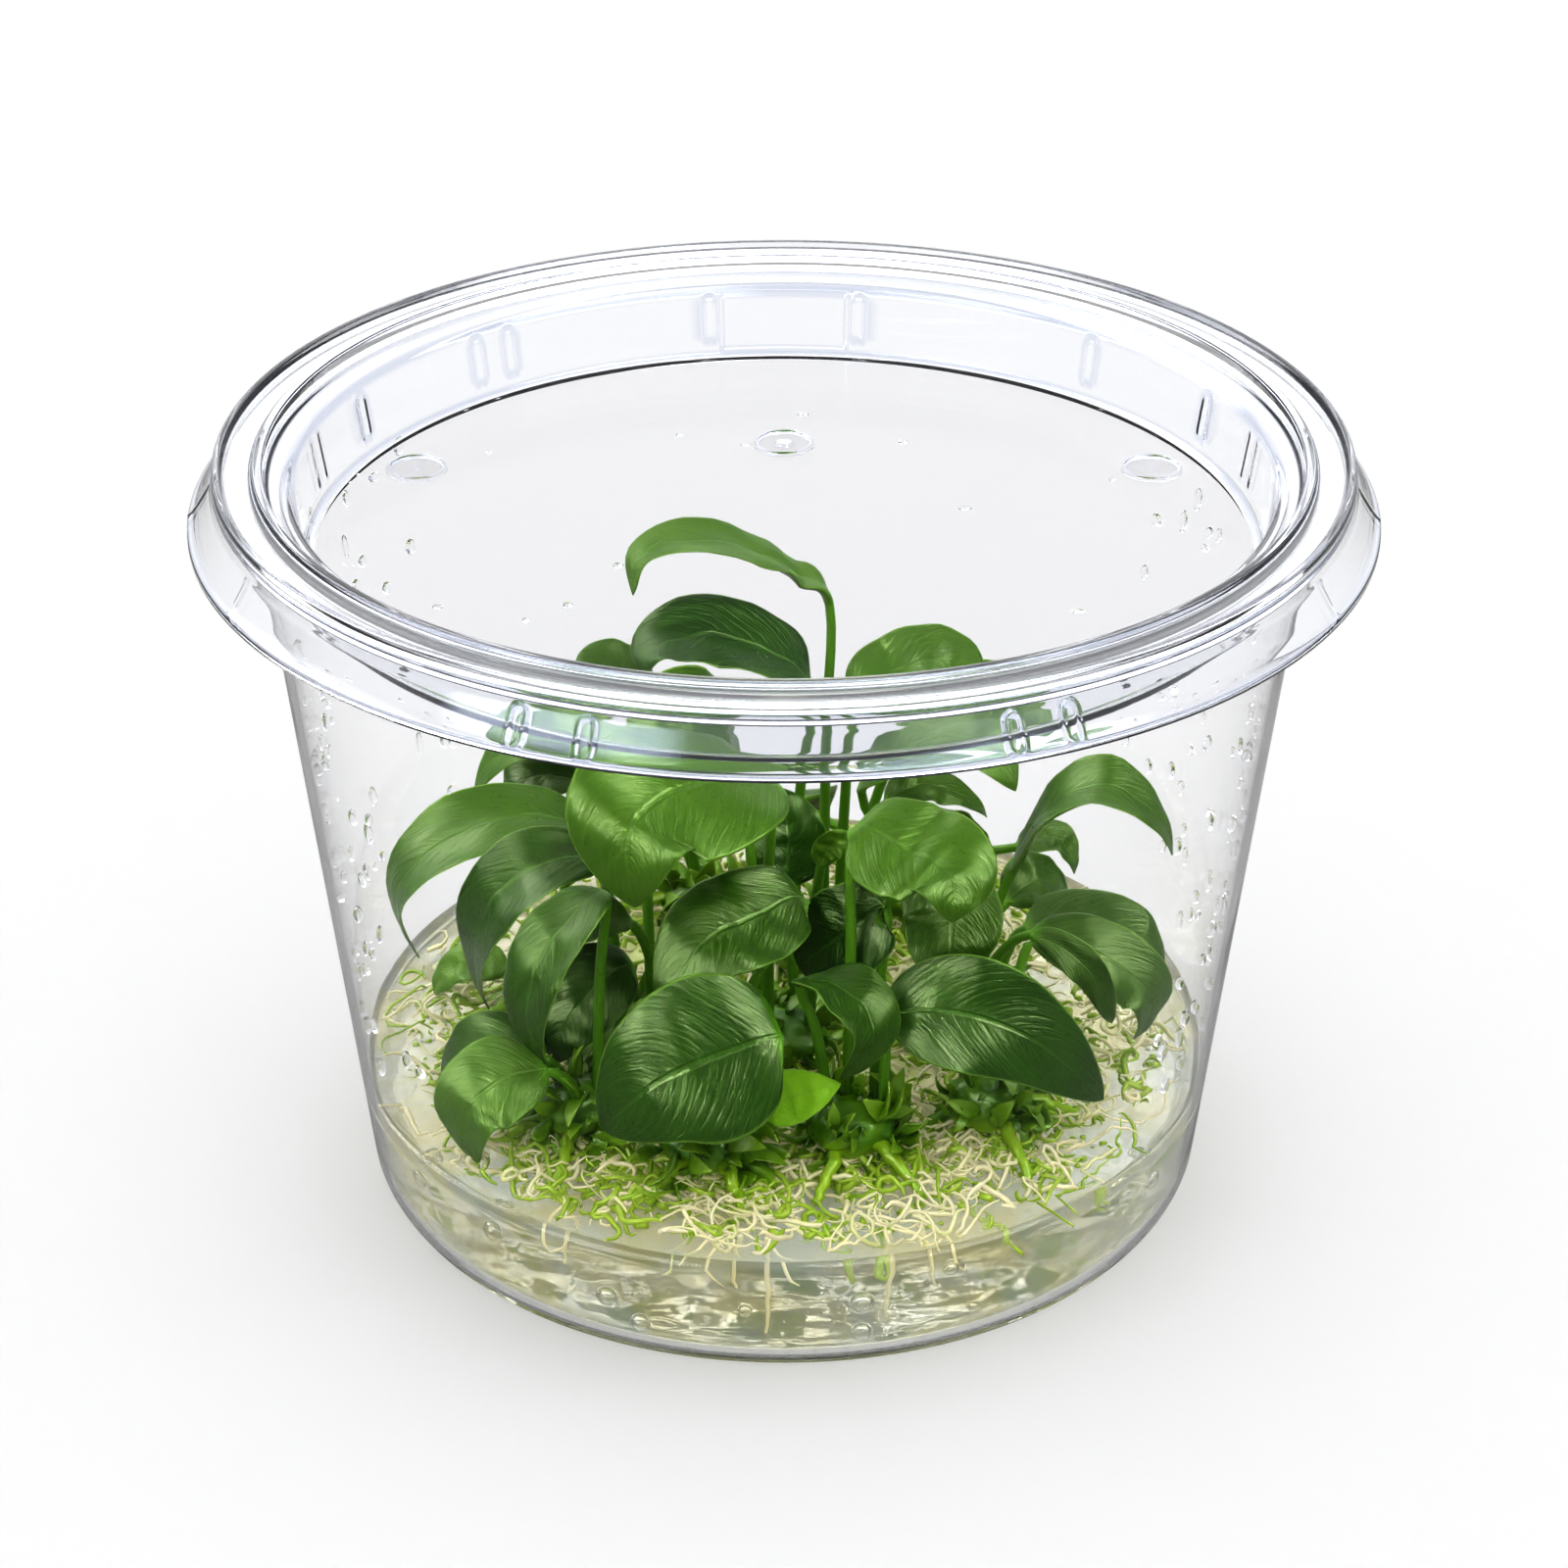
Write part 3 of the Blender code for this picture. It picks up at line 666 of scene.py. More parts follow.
def buildLid():
    s = lidShape
    t = s["thickness"]
    shoulder = s["shelfTop"] + 0.6
    crease = (s["skirtRadius"] - 0.8, s["skirtFoot"] + 1.4)
    foot = s["panelTop"] - t
    channelFoot = s["channelTop"] - t
    over = [
        (0, s["panelTop"], 0), (s["panelRadius"], s["panelTop"], 0.6), (s["shelfRadius"], s["shelfTop"], 0.7),
        (s["ridgeInner"], shoulder, 0.4), (s["ridgeInner"] + 0.3, s["top"], 0.3),
        (s["ridgeOuter"], s["top"], 0.3),
        (s["ridgeOuter"] + 0.2, s["channelTop"], 0.15), (s["ringRadius"] - 1.0, s["channelTop"], 0.15),
        (s["ringRadius"] - 0.7, s["top"], 0.2), (s["ringRadius"] - 0.1, s["top"], 0.2),
        (s["ringRadius"], s["top"] - 0.4, 0.2), (s["ringRadius"] + 0.3, s["ringFoot"], 0.4),
        (crease[0], crease[1], 0.8), (s["skirtRadius"], s["skirtFoot"] + 0.6, 0.3),
        (s["skirtRadius"], s["skirtFoot"], 0.2),
    ]
    under = [
        (s["skirtRadius"] - t, s["skirtFoot"], 0.2), (crease[0] - t, crease[1] - 0.3, 0.6),
        (s["ringRadius"] + 0.3 - t, s["ringFoot"] - 0.3, 0.3), (s["ringRadius"] - t, channelFoot, 0.4),
        (s["ridgeInner"] + 0.4, channelFoot, 0.3), (s["ridgeInner"] + 0.1, shoulder - t, 0.3),
        (s["shelfRadius"] + t, s["shelfTop"] - t, 0.6), (s["panelRadius"] + t, foot + 0.3, 0.5),
        (s["panelRadius"], foot, 0.4), (0, foot, 0),
    ]

    def spacing(p):
        skirt = p.x > s["ringRadius"] + 0.2
        wall = s["panelRadius"] - 0.1 < p.x < s["shelfRadius"] + 0.1
        return 0.33 if skirt or wall else 8.0

    top = refinedPath(roundedPath(over, 4, 0.25), spacing)
    bottom = refinedPath(roundedPath(under, 3, 0.25), lambda p: 8.0)

    def lift(angles, r, z):
        if (r, z) in marked:
            return lidLift(angles, r, z)
        return np.zeros(len(angles))

    marked = set((p.x, p.y) for p in top)
    shell = turnedShell("lidShell", top + bottom, lidAngles(), panelPlastic, lift)
    shell.data.materials.append(rimPlastic)
    for face in shell.data.polygons:
        face.material_index = int(math.hypot(face.center.x, face.center.y) > (s["panelRadius"] - 1.2) * mm)
    vents = [ventRing("vent", *row) for row in s["vents"]]
    lid = joinObjects("lidClear", [shell] + vents)
    markEdges(lid.data, 8.0, 24.0)
    finishPiece(lid, "clear_plastic", "lid")


buildCup()
buildLid()
print("cup and lid turned")


# Gel

gelShape = {
    "top": 12.0,
    "foot": 1.05,
    "gap": 0.06,
    "meniscus": 0.7,
    "lump": 0.6,
    "lumpSize": 4.2,
    "columns": 200,
    "rings": 60,
}


def gelTop(x, y):
    # Height of the gel's uneven surface
    reach = math.hypot(x, y)
    edge = innerRadius(gelShape["top"])
    lumps = noise.fractal(Vector((x, y, 3.0)) / gelShape["lumpSize"], 1.0, 2.1, 3)
    calm = min(1.0, max(0.0, (edge - reach) / 3.0))
    climb = gelShape["meniscus"] * math.exp(-(edge - reach) / 0.8)
    return gelShape["top"] + gelShape["lump"] * lumps * calm + climb


def buildGel():
    g = gelShape
    edge = innerRadius(g["top"] + g["meniscus"]) - g["gap"]
    foot = g["foot"]
    path = [Vector((0, g["top"]))]
    for k in range(1, g["rings"] + 1):
        share = k / g["rings"]
        path.append(Vector((edge * (1 - (1 - share) ** 1.35), g["top"])))
    wall = [(edge, g["top"], 0), (innerRadius(foot + 2.0) - g["gap"], foot + 2.0, 1.0),
            (innerRadius(foot) - 1.0, foot, 0.8), (0, foot, 0)]
    path += refinedPath(roundedPath(wall), lambda p: 2.0)[1:]
    gel = turnedShell("gelBody", path, evenAngles(g["columns"]), gelClear)
    for vert in gel.data.vertices:
        x, y, z = vert.co / mm
        if z > g["top"] - 0.001:
            vert.co.z = gelTop(x, y) * mm
    finishPiece(gel, "culture_gel", "gel")


buildGel()
print("gel poured")


# Leaves

crownPlaces = {
    "left": ((-19.0, -21.0), 4.2, 5.0, ((-27.0, -23.0), (-21.0, -30.0))),
    "left_rear": ((-14.0, -8.0), 4.4, 5.0, ((-9.0, -13.5),)),
    "far_left": ((-24.0, 0.5), 3.2, 3.0, ((-31.0, -3.0),)),
    "middle": ((-7.0, -27.0), 4.2, 5.0, ((-12.5, -32.5), (-3.5, -34.5))),
    "centre": ((0.0, -8.5), 4.4, 5.0, ((6.0, -13.5),)),
    "front": ((6.5, -24.5), 4.2, 5.0, ((3.0, -33.0), (13.0, -31.5))),
    "right": ((19.5, -20.0), 4.0, 5.0, ((22.5, -29.0), (28.0, -18.0))),
    "right_rear": ((17.5, -4.0), 4.6, 5.0, ((26.5, -5.0),)),
    "back": ((3.5, 8.5), 4.6, 5.5, ((-4.0, 12.5),)),
    "back_left": ((-8.5, 18.0), 3.8, 5.0, ((-17.0, 21.0),)),
    "back_right": ((13.0, 19.0), 4.2, 5.0, ((20.5, 24.5),)),
}

# Leaf: crown, petiole foot on it, blade width, facing, rise of the edges, tone, midrib points
leafShapes = {
    "top": ("back", (0.5, 2.5), 7, (-0.1, -0.25, 0.95), 0.6, 0.6, (
        (4.5, 16, 50.5), (1, 17, 53.5), (-3, 16, 56.5), (-9, 13, 59), (-13.5, 10, 59), (-15, 7, 56.5))),
    "high_left": ("back", (-2.5, -0.5), 11.5, (-0.1, -0.3, 0.95), 1, 0, (
        (2.5, 8.5, 44.5), (-1, 9, 48.5), (-7, 8.5, 51), (-12, 7, 50.5), (-14, 5, 49))),
    "high_far_left": ("back_left", (-0.5, -1), 8, (-0.1, -0.3, 0.95), 0.8, 0.3, (
        (-13.5, 16, 40.5), (-17.5, 17, 43), (-21, 16, 42))),
    "high_right": ("back", (2, -0.5), 9, (0.1, -0.3, 0.95), 0.8, 0.45, (
        (7, 8, 44), (11.5, 12, 45.5), (16, 12, 46.5), (19.5, 9, 45.5))),
    "veil_left": ("left_rear", (1, 2.5), 9, (-0.2, -0.5, 0.85), 1, 0.5, (
        (-14, 4, 37), (-20, 6, 42), (-25.5, 6, 41.5), (-31, 5, 36))),
    "veil_mid": ("centre", (-2.5, 2), 13, (-0.1, -0.7, 0.7), 0.8, 0.4, (
        (-4, 0, 40), (-6, -3, 46), (-10.5, -6, 48.5), (-14.5, -10, 47))),
    "veil_right": ("right_rear", (-3, 1), 10, (0.1, -0.5, 0.85), 0.8, 0.4, (
        (7.5, 0, 38.5), (12.5, -1, 44.5), (18, -4, 46.5), (22, -8, 43.5))),
    "veil_far_right": ("back", (3, 2), 9, (0.1, -0.5, 0.85), 1, 0.4, (
        (13, 14, 38.5), (19, 16, 40), (24.5, 14, 39), (27, 12, 36.5))),
    "large": ("centre", (-1.5, -2.5), 18, (-0.3, -0.8, 0.55), 0.6, 0.45, (
        (-1.5, -11, 45.5), (-7, -16, 48.5), (-13.5, -21, 47), (-14, -24, 39.5))),
    "arch_left": ("left_rear", (-2, 1.5), 9.4, (-0.5, -0.4, 0.78), 1, 0.4, (
        (-18, -5, 36), (-22.5, -6, 39), (-28, -7, 39), (-33.5, -8, 36.5), (-37, -8.5, 32), (-36, -9, 25))),
    "low_back_left": ("far_left", (1.5, 1.5), 7, (-0.3, -0.4, 0.85), 0.8, 0.3, (
        (-20, 6, 35), (-23, 7, 36.5), (-26.5, 7, 35.5), (-28, 7, 32.5))),
    "mid_left_dark": ("left_rear", (-3.3, -1), 9.5, (-0.55, -0.5, 0.65), 1, 0.1, (
        (-17, -13, 38), (-22.5, -15, 39), (-27, -15.5, 35.5), (-29, -15, 30), (-29, -13.5, 22))),
    "mid_left": ("left", (1.5, -0.5), 7.5, (-0.55, -0.75, 0.3), 0.6, 0.15, (
        (-16.5, -20, 38.5), (-20, -23.5, 37.5), (-22.5, -25.5, 34), (-23.5, -26.5, 29.5),
        (-22.5, -26.5, 24))),
    "dark_left": ("left", (3, 2.5), 8.5, (-0.3, -0.85, 0.4), 0.6, 0.1, (
        (-14.5, -14.5, 27.5), (-17.5, -16.5, 27), (-20.5, -18, 23.5), (-22, -19, 19.5))),
    "low_left_rear": ("left", (-2.2, 1), 8, (-0.4, -0.5, 0.75), 0.7, 0.15, (
        (-22.5, -20.5, 21), (-27, -20, 22), (-31, -19, 19), (-32.5, -18.5, 15))),
    "low_left": ("left", (-0.5, -2.2), 9.5, (-0.3, -0.75, 0.55), 0.6, 0.55, (
        (-22, -25, 22.5), (-26, -26.5, 22.5), (-29, -27.5, 20), (-29, -28, 14))),
    "small_far_left": ("far_left", (-1.5, -0.5), 5, (-0.3, -0.5, 0.8), 0.5, 0.9, (
        (-27.5, 0, 18.5), (-32, 1, 18.5), (-35.5, 1, 15))),
    "small_mid_left": ("left_rear", (2, -0.5), 5, (-0.1, -0.45, 0.88), 0.5, 0.35, (
        (-14.5, -15.5, 33), (-17.5, -16, 33.5), (-21, -16.5, 31.5))),
    "centre": ("middle", (0.5, 2), 11.5, (-0.35, -0.75, 0.55), 0.6, 0.2, (
        (1.5, -16, 35.5), (-3, -19, 35.5), (-7.5, -22, 34.5), (-11.5, -25, 29))),
    "front": ("middle", (2.5, -1), 16.5, (-0.12, -0.86, 0.48), -0.5, 0.05, (
        (-0.5, -30, 29.5), (-5.5, -32, 29), (-11.5, -33, 26.5), (-17, -32, 20.5))),
    "glossy": ("front", (-0.5, 2), 12.5, (0.25, -0.65, 0.7), 0.3, 0.45, (
        (6.5, -17, 43.5), (11, -20, 43.5), (15, -23, 42.5), (15.5, -26, 39.5))),
    "under_glossy": ("right", (-2, 1), 10, (0.15, -0.9, 0.35), 0.5, 0.3, (
        (13, -12, 36.5), (15.5, -16, 35), (15.5, -19, 32), (15.5, -20, 27.5))),
    "big_right": ("front", (2.8, -0.5), 11.5, (0.12, -0.82, 0.55), 0.4, 0.05, (
        (9.5, -25, 28.5), (15.5, -26.5, 30), (22.5, -27, 27.5), (30, -26, 20))),
    "arch_right": ("right_rear", (1.5, -1), 8, (0.3, -0.25, 0.9), 0.9, 0.4, (
        (22, -5, 32.5), (25, -6, 39.5), (29.5, -7, 43), (34, -8, 41.5), (37.5, -9, 37))),
    "thin_back": ("back", (2.5, -2.5), 5, (0.1, -0.4, 0.9), 0.5, 0.4, (
        (10, 3, 35.5), (14.5, 5, 36.5), (20.5, 6, 33))),
    "back_right_tip": ("back_right", (3, -1.5), 5, (0.3, -0.3, 0.9), 0.6, 0.35, (
        (23.5, 13, 25), (27.5, 14, 25.5), (30, 12, 23))),
    "grey_right": ("right_rear", (0.5, 2.5), 6.5, (0.1, -0.5, 0.85), 0.6, 0.3, (
        (22, 1, 25.5), (25.5, 3, 27), (29, 4, 23.5))),
    "low_right_rear": ("right_rear", (3.5, 1), 8.5, (0.2, -0.3, 0.9), 0.7, 0.3, (
        (23.5, -4, 25.5), (28.5, -4, 26.5), (34, -5, 25.5), (37.5, -6, 22.5))),
    "low_right": ("right_rear", (1, -3), 7.5, (0.35, -0.7, 0.55), 0.5, 0.3, (
        (23.5, -11, 29), (29, -13, 28.5), (34.5, -14, 24.5), (34, -15, 19.5))),
    "narrow_right": ("right", (1, 1.5), 3.8, (-0.3, -0.8, 0.4), 0.5, 0.3, (
        (23.5, -15, 31), (27.5, -17, 30), (29.5, -18, 27.5), (31, -18, 23))),
    "centre_dark": ("front", (2, 2), 9.5, (-0.2, -0.85, 0.5), 0.6, 0, (
        (9.5, -18, 36), (6.5, -18, 34), (3.5, -17, 31), (1, -16, 28))),
    "curl": ("front", (-2.5, 0.5), 7.5, (0.5, -0.7, 0.5), 1, 0.15, (
        (1.5, -24, 31.5), (5.5, -27, 32.5), (8, -29.5, 30), (5.5, -31, 25))),
    "curl_tip": ("middle", (2.8, 1.8), 5.5, (0.1, -0.8, 0.5), 0.3, 0.6, (
        (-2.5, -27, 20), (1, -27.5, 21.5), (5, -28, 23))),
    "young": ("centre", (2.5, -1.5), 3, (0, -0.9, 0.4), 0.8, 0.8, (
        (3.5, -12, 37), (4.5, -12, 39.5), (6.5, -12, 40.5))),
    "behind_centre": ("centre", (1, 2.7), 8, (0, -0.9, 0.3), 0.5, 0.05, (
        (0, -2, 29), (0.5, 0, 33.5), (-0.5, 3, 37.5))),
    "back_a": ("back_left", (-1, 2), 10, (-0.4, 0.5, 0.75), 0.8, 0.2, (
        (-13, 21, 24), (-16.5, 26, 21), (-20, 30, 14.5))),
    "back_b": ("back_right", (-3.2, 0.5), 10, (0, 0.6, 0.75), 0.8, 0.2, (
        (1.5, 24, 24), (1, 30, 21.5), (2.5, 35, 14))),
    "back_c": ("back_right", (1, 1.5), 9, (0.4, 0.5, 0.75), 0.8, 0.2, (
        (13.5, 22, 24), (17, 26, 21.5), (22, 29, 14))),
}

leafForm = {
    "foot": 13.6,
    "gap": 0.3,
    "bury": 2.6,
    "halfThickness": 0.24,
    "petioleRadius": 0.54,
    "tipRadius": 0.09,
    "groove": 0.2,
    "wave": 0.28,
    "dimple": 0.4,
    "hook": 0.8,
    "bladeStations": 34,
    "petioleStations": 14,
    "acrossSteps": 13,
}


def curvePoint(points, t):
    span = min(int(t), len(points) - 2)
    f = t - span
    p1 = points[span]
    p2 = points[span + 1]
    p0 = points[span - 1] if span > 0 else 2 * p1 - p2
    p3 = points[span + 2] if span + 2 < len(points) else 2 * p2 - p1
    bend = 2 * p0 - 5 * p1 + 4 * p2 - p3
    twist = 3 * p1 - p0 - 3 * p2 + p3
    return 0.5 * (2 * p1 + (p2 - p0) * f + bend * f * f + twist * f ** 3)


def curveWay(points, t):
    last = len(points) - 1
    return (curvePoint(points, min(t + 0.02, last)) - curvePoint(points, max(t - 0.02, 0))).normalized()


def bladeHalf(s):
    if not 0 < s < 1:
        return 0.0
    body = math.sin(math.pi * s ** 0.82) ** 0.62 * (1.0 - 0.12 * s)
    return min(body, 1.9 * (1.0 - s) ** 0.72)


def smoothShare(value, low, high):
    t = min(1.0, max(0.0, (value - low) / (high - low)))
    return t * t * (3 - 2 * t)


def buildLeaf(name, crownName, offset, width, facing, rise, tone, midrib):
    f = leafForm
    rng = random.Random(name)
    middle, _, height, _ = crownPlaces[crownName]
    base = Vector(midrib[0])
    foot = Vector((middle[0] + offset[0], middle[1] + offset[1], f["foot"] + height + f["gap"]))
    knee = foot.lerp(base, 0.4)
    knee.z = foot.z + 0.6 * (base.z - foot.z)
    points = [foot - Vector((0, 0, f["bury"])), foot, knee] + [Vector(p) for p in midrib]
    across = (points[-1] - points[3]).cross(Vector(facing)).normalized()
    length = len(points) - 4
    stations = [(3.0 * k / f["petioleStations"], 0.0) for k in range(f["petioleStations"])]
    for k in range(f["bladeStations"] + 1):
        s = 0.5 - 0.5 * math.cos(math.pi * k / f["bladeStations"])
        stations.append((3.0 + length * s, s))
    n = f["acrossSteps"]
    section = [(-math.cos(math.pi * k / (n - 1)), 1.0) for k in range(n)]
    section += [(math.cos(math.pi * k / (n - 1)), -1.0) for k in range(1, n - 1)]
    phase = rng.uniform(0.0, math.tau)
    turns = rng.uniform(1.3, 2.4)
    twist = rng.uniform(-0.12, 0.12)
    verts = []
    acrossValues = []
    alongValues = []
    for t, s in stations:
        here = curvePoint(points, t)
        way = curveWay(points, t) if t > 0 else Vector((0, 0, 1))
        side = (across - way * across.dot(way)).normalized()
        face = side.cross(way)
        share = bladeHalf(s)
        stem = f["petioleRadius"] * (1.15 - 0.3 * min(t / 3.0, 1.0)) * (1.0 - smoothShare(s, 0.0, 0.85))
        half = max(0.5 * width * share, stem, f["tipRadius"])
        thick = max(stem, f["halfThickness"] * (1.0 - 0.6 * smoothShare(s, 0.7, 1.0)), f["tipRadius"])
        blade = smoothShare(s, 0.02, 0.15)
        for u, v in section:
            body = thick * math.sqrt(max(0.0, 1.0 - u * u)) * v
            lift = rise * (2 * half / width) ** 2 * u * u
            ripple = math.sin(turns * math.tau * s + phase + (1.3 if u > 0 else 0.0))
            lift += f["wave"] * ripple * abs(u) ** 3 * share * blade
            lift += twist * u * half * smoothShare(s, 0.3, 1.0)
            lift -= f["groove"] * math.exp(-(u * half / 0.45) ** 2) * blade * (1.0 - 0.7 * s)
            lift += f["dimple"] * noise.noise(Vector((9.0 * s, 2.0 * u, phase))) * share * blade
            lift -= f["hook"] * max(0.0, (s - 0.86) / 0.14) ** 2
            verts.append(here + side * half * u + face * (body + lift))
            acrossValues.append(u)
            alongValues.append(s)
    faces = tubeFaces(len(stations), len(section))
    material = leafLime if name == "curl_tip" else leafGreen
    leaf = meshObject("leafFine_" + name, [v * mm for v in verts], faces, material)
    faceOutward(leaf.data)
    setPointValues(leaf.data, "across", acrossValues)
    setPointValues(leaf.data, "along", alongValues)
    setPointValues(leaf.data, "tone", [tone] * len(verts))
    finishPiece(leaf, "young_leaf" if name == "curl_tip" else "leaf", "leaf_" + name)


for leafName, values in leafShapes.items():
    buildLeaf(leafName, *values)
print("leaves grown:", len(leafShapes))


# Geometry Nodes helpers

def startTree(name, sockets):
    tree = bpy.data.node_groups.new(name, "GeometryNodeTree")
    tree.interface.new_socket("Geometry", in_out="INPUT", socket_type="NodeSocketGeometry")
    for label, kind, value in sockets:
        socket = tree.interface.new_socket(label, in_out="INPUT", socket_type=kind)
        if value is not None:
            socket.default_value = value
    tree.interface.new_socket("Geometry", in_out="OUTPUT", socket_type="NodeSocketGeometry")
    return tree, tree.nodes.new("NodeGroupInput"), tree.nodes.new("NodeGroupOutput")


def addNode(tree, kind, links=(), **settings):
    # links pairs an input's name or number with a value or with the socket that feeds it
    node = tree.nodes.new(kind)
    for label, value in settings.items():
        setattr(node, label, value)
    for label, value in links:
        feed(tree, node.inputs[label], value)
    return node


def endTree(tree, geometry, material, end):
    real = addNode(tree, "GeometryNodeRealizeInstances", (("Geometry", geometry),))
    smooth = addNode(tree, "GeometryNodeSetShadeSmooth", (("Geometry", real.outputs[0]),))
    painted = addNode(
        tree, "GeometryNodeSetMaterial", (("Geometry", smooth.outputs[0]), ("Material", material)))
    tree.links.new(painted.outputs[0], end.inputs[0])


def bakedMesh(name, source, tree, values):
    # Runs a tree on the source and leaves a plain mesh object
    modifier = source.modifiers.new(name, "NODES")
    modifier.node_group = tree
    for item in tree.interface.items_tree:
        if item.item_type == "SOCKET" and item.in_out == "INPUT" and item.name in values:
            modifier[item.identifier] = values[item.name]
    source.update_tag()
    graph = bpy.context.evaluated_depsgraph_get()
    mesh = bpy.data.meshes.new_from_object(source.evaluated_get(graph))
    mesh.name = name
    source.modifiers.remove(modifier)
    bpy.data.objects.remove(source, do_unlink=True)
    return linkedObject(name, mesh)


# Roots: each strand is a line of points that the tree turns into a tapering tube

rootNet = {
    "seed": 11,
    "creamStrands": 1500,
    "greenStrands": 1000,
    "reach": 37.5,
    "radius": 0.22,
    "sides": 4,
    "nearCrown": {"cream": 0.68, "green": 0.85},
    "spread": 5.5,
    "points": (7, 15),
    "step": (0.4, 0.8),
    "curl": 0.75,
    "thickness": (0.5, 1.4),
    "heights": (12.3, 14.8),
    "gelShare": 0.04,
    "gelHeights": (8.0, 12.8),
    "hanging": (
        (-1.5, -37.6, 10.0), (-4.0, -37.2, 5.0), (9.5, -36.6, 9.0), (12.5, -35.8, 6.0), (-20.0, -32.0, 6.0)),
    "scraps": 1300,
    "scrapSize": 2.6,
}


def strandTree():
    tree, start, end = startTree("strandTubes", (
        ("Radius", "NodeSocketFloat", 0.00026),
        ("Sides", "NodeSocketInt", 5),
        ("Material", "NodeSocketMaterial", None),
    ))
    curve = addNode(tree, "GeometryNodeMeshToCurve", (("Mesh", start.outputs["Geometry"]),))
    taper = addNode(tree, "GeometryNodeInputNamedAttribute", (("Name", "thick"),), data_type="FLOAT")
    sized = addNode(
        tree, "GeometryNodeSetCurveRadius", (("Curve", curve.outputs[0]), ("Radius", taper.outputs[0])))
    ring = addNode(tree, "GeometryNodeCurvePrimitiveCircle", (
        ("Resolution", start.outputs["Sides"]), ("Radius", start.outputs["Radius"])))
    tube = addNode(tree, "GeometryNodeCurveToMesh", (
        ("Curve", sized.outputs[0]), ("Profile Curve", ring.outputs[0]), ("Scale", taper.outputs[0]),
        ("Fill Caps", True)))
    endTree(tree, tube.outputs[0], start.outputs["Material"], end)
    return tree


strandTubes = strandTree()


def strandObject(name, strands, radius, sides, material):
    # strands holds (points, thickness values, tone)
    verts = []
    edges = []
    thick = []
    tones = []
    for points, sizes, tone in strands:
        first = len(verts)
        verts += [tuple(p * mm) for p in points]
        edges += [(first + k, first + k + 1) for k in range(len(points) - 1)]
        thick += sizes
        tones += [tone] * len(points)
    mesh = bpy.data.meshes.new(name)
    mesh.from_pydata(verts, edges, [])
    setPointValues(mesh, "thick", thick)
    setPointValues(mesh, "tone", tones)
    values = {"Radius": radius * mm, "Sides": sides, "Material": material}
    return bakedMesh(name, linkedObject(name, mesh), strandTubes, values)


def curlyStrand(rng, x, y, z, count, step, low, high, curl):
    # A wandering line kept between two heights and inside the wall
    heading = rng.uniform(0, math.tau)
    turn = rng.uniform(-curl, curl)
    pitch = rng.uniform(-0.5, 0.5)
    here = Vector((x, y, z))
    points = [here.copy()]
    for _ in range(count):
        heading += turn + rng.uniform(-0.5, 0.5)
        pitch = max(-1.0, min(1.0, pitch + rng.uniform(-0.45, 0.45)))
        if here.z > high:
            pitch = -0.5
        if here.z < low:
            pitch = 0.5
        here = here + step * Vector((math.cos(heading), math.sin(heading), pitch))
        limit = innerRadius(here.z) - 1.6
        reach = math.hypot(here.x, here.y)
        if reach > limit:
            here.x *= limit / reach
            here.y *= limit / reach
            heading += 1.2
        points.append(here.copy())
    return points


def taperSizes(count, thick):
    return [thick * (1.0 - 0.7 * abs(2.0 * k / count - 0.9) ** 2.5 / 1.3) for k in range(count + 1)]


def matStrand(rng, spots, isGreen):
    # One strand of the mat, most of them near a crown
    r = rootNet
    if rng.random() < r["nearCrown"]["green" if isGreen else "cream"]:
        spot = rng.choice(spots)
        x = rng.gauss(spot[0], r["spread"])
        y = rng.gauss(spot[1], r["spread"])
    else:
        angle = rng.uniform(0, math.tau)
        reach = r["reach"] * math.sqrt(rng.random())
        x = reach * math.cos(angle)
        y = reach * math.sin(angle)
    count = rng.randint(*r["points"])
    low, high = r["gelHeights"] if rng.random() < r["gelShare"] else r["heights"]
    z = rng.uniform(low, high)
    points = curlyStrand(rng, x, y, z, count, rng.uniform(*r["step"]), low, high, r["curl"])
    thick = rng.uniform(*r["thickness"])
    tone = rng.uniform(0.7, 1.0) if isGreen else rng.choice((0.0, 0.0, 0.1, 0.3))
    return points, taperSizes(count, thick), tone


def hangingStrands(rng, x, y, tall):
    # A thick root that hangs into the gel with a few thin ones around its top
    here = Vector((x, y, 12.6))
    points = [here.copy()]
    for _ in range(12):
        here = here + Vector((rng.uniform(-0.25, 0.25), rng.uniform(-0.03, 0.12), -tall / 12))
        points.append(here.copy())
    strands = [(points, [1.5 - 0.07 * k for k in range(13)], 0.0)]
    for _ in range(5):
        branch = curlyStrand(rng, x, y + 1.0, 12.4, 7, 0.9, 9.0, 13.0, 0.3)
        strands.append((branch, taperSizes(7, 0.9), 0.0))
    return strands


def buildRoots():
    r = rootNet
    rng = random.Random(r["seed"])
    spots = [place for place, *_ in crownPlaces.values()]
    cream = [matStrand(rng, spots, False) for _ in range(r["creamStrands"])]
    green = [matStrand(rng, spots, True) for _ in range(r["greenStrands"])]
    for x, y, tall in r["hanging"]:
        cream += hangingStrands(rng, x, y, tall)
    creamNet = strandObject("rootStrands", cream, r["radius"], r["sides"], rootCream)
    finishPiece(creamNet, "root", "root_mat")
    greenNet = strandObject("greenStrands", green, r["radius"] * 1.25, r["sides"], rootGreen)
    finishPiece(greenNet, "root", "root_mat")
    for net in (creamNet, greenNet):
        net.visible_diffuse = False  # the sky's light soaks between the strands


matBed = {
    "reach": 24.0,
    "top": 13.3,
    "foot": 12.6,
    "lump": 0.9,
    "columns": 110,
    "rings": 44,
}


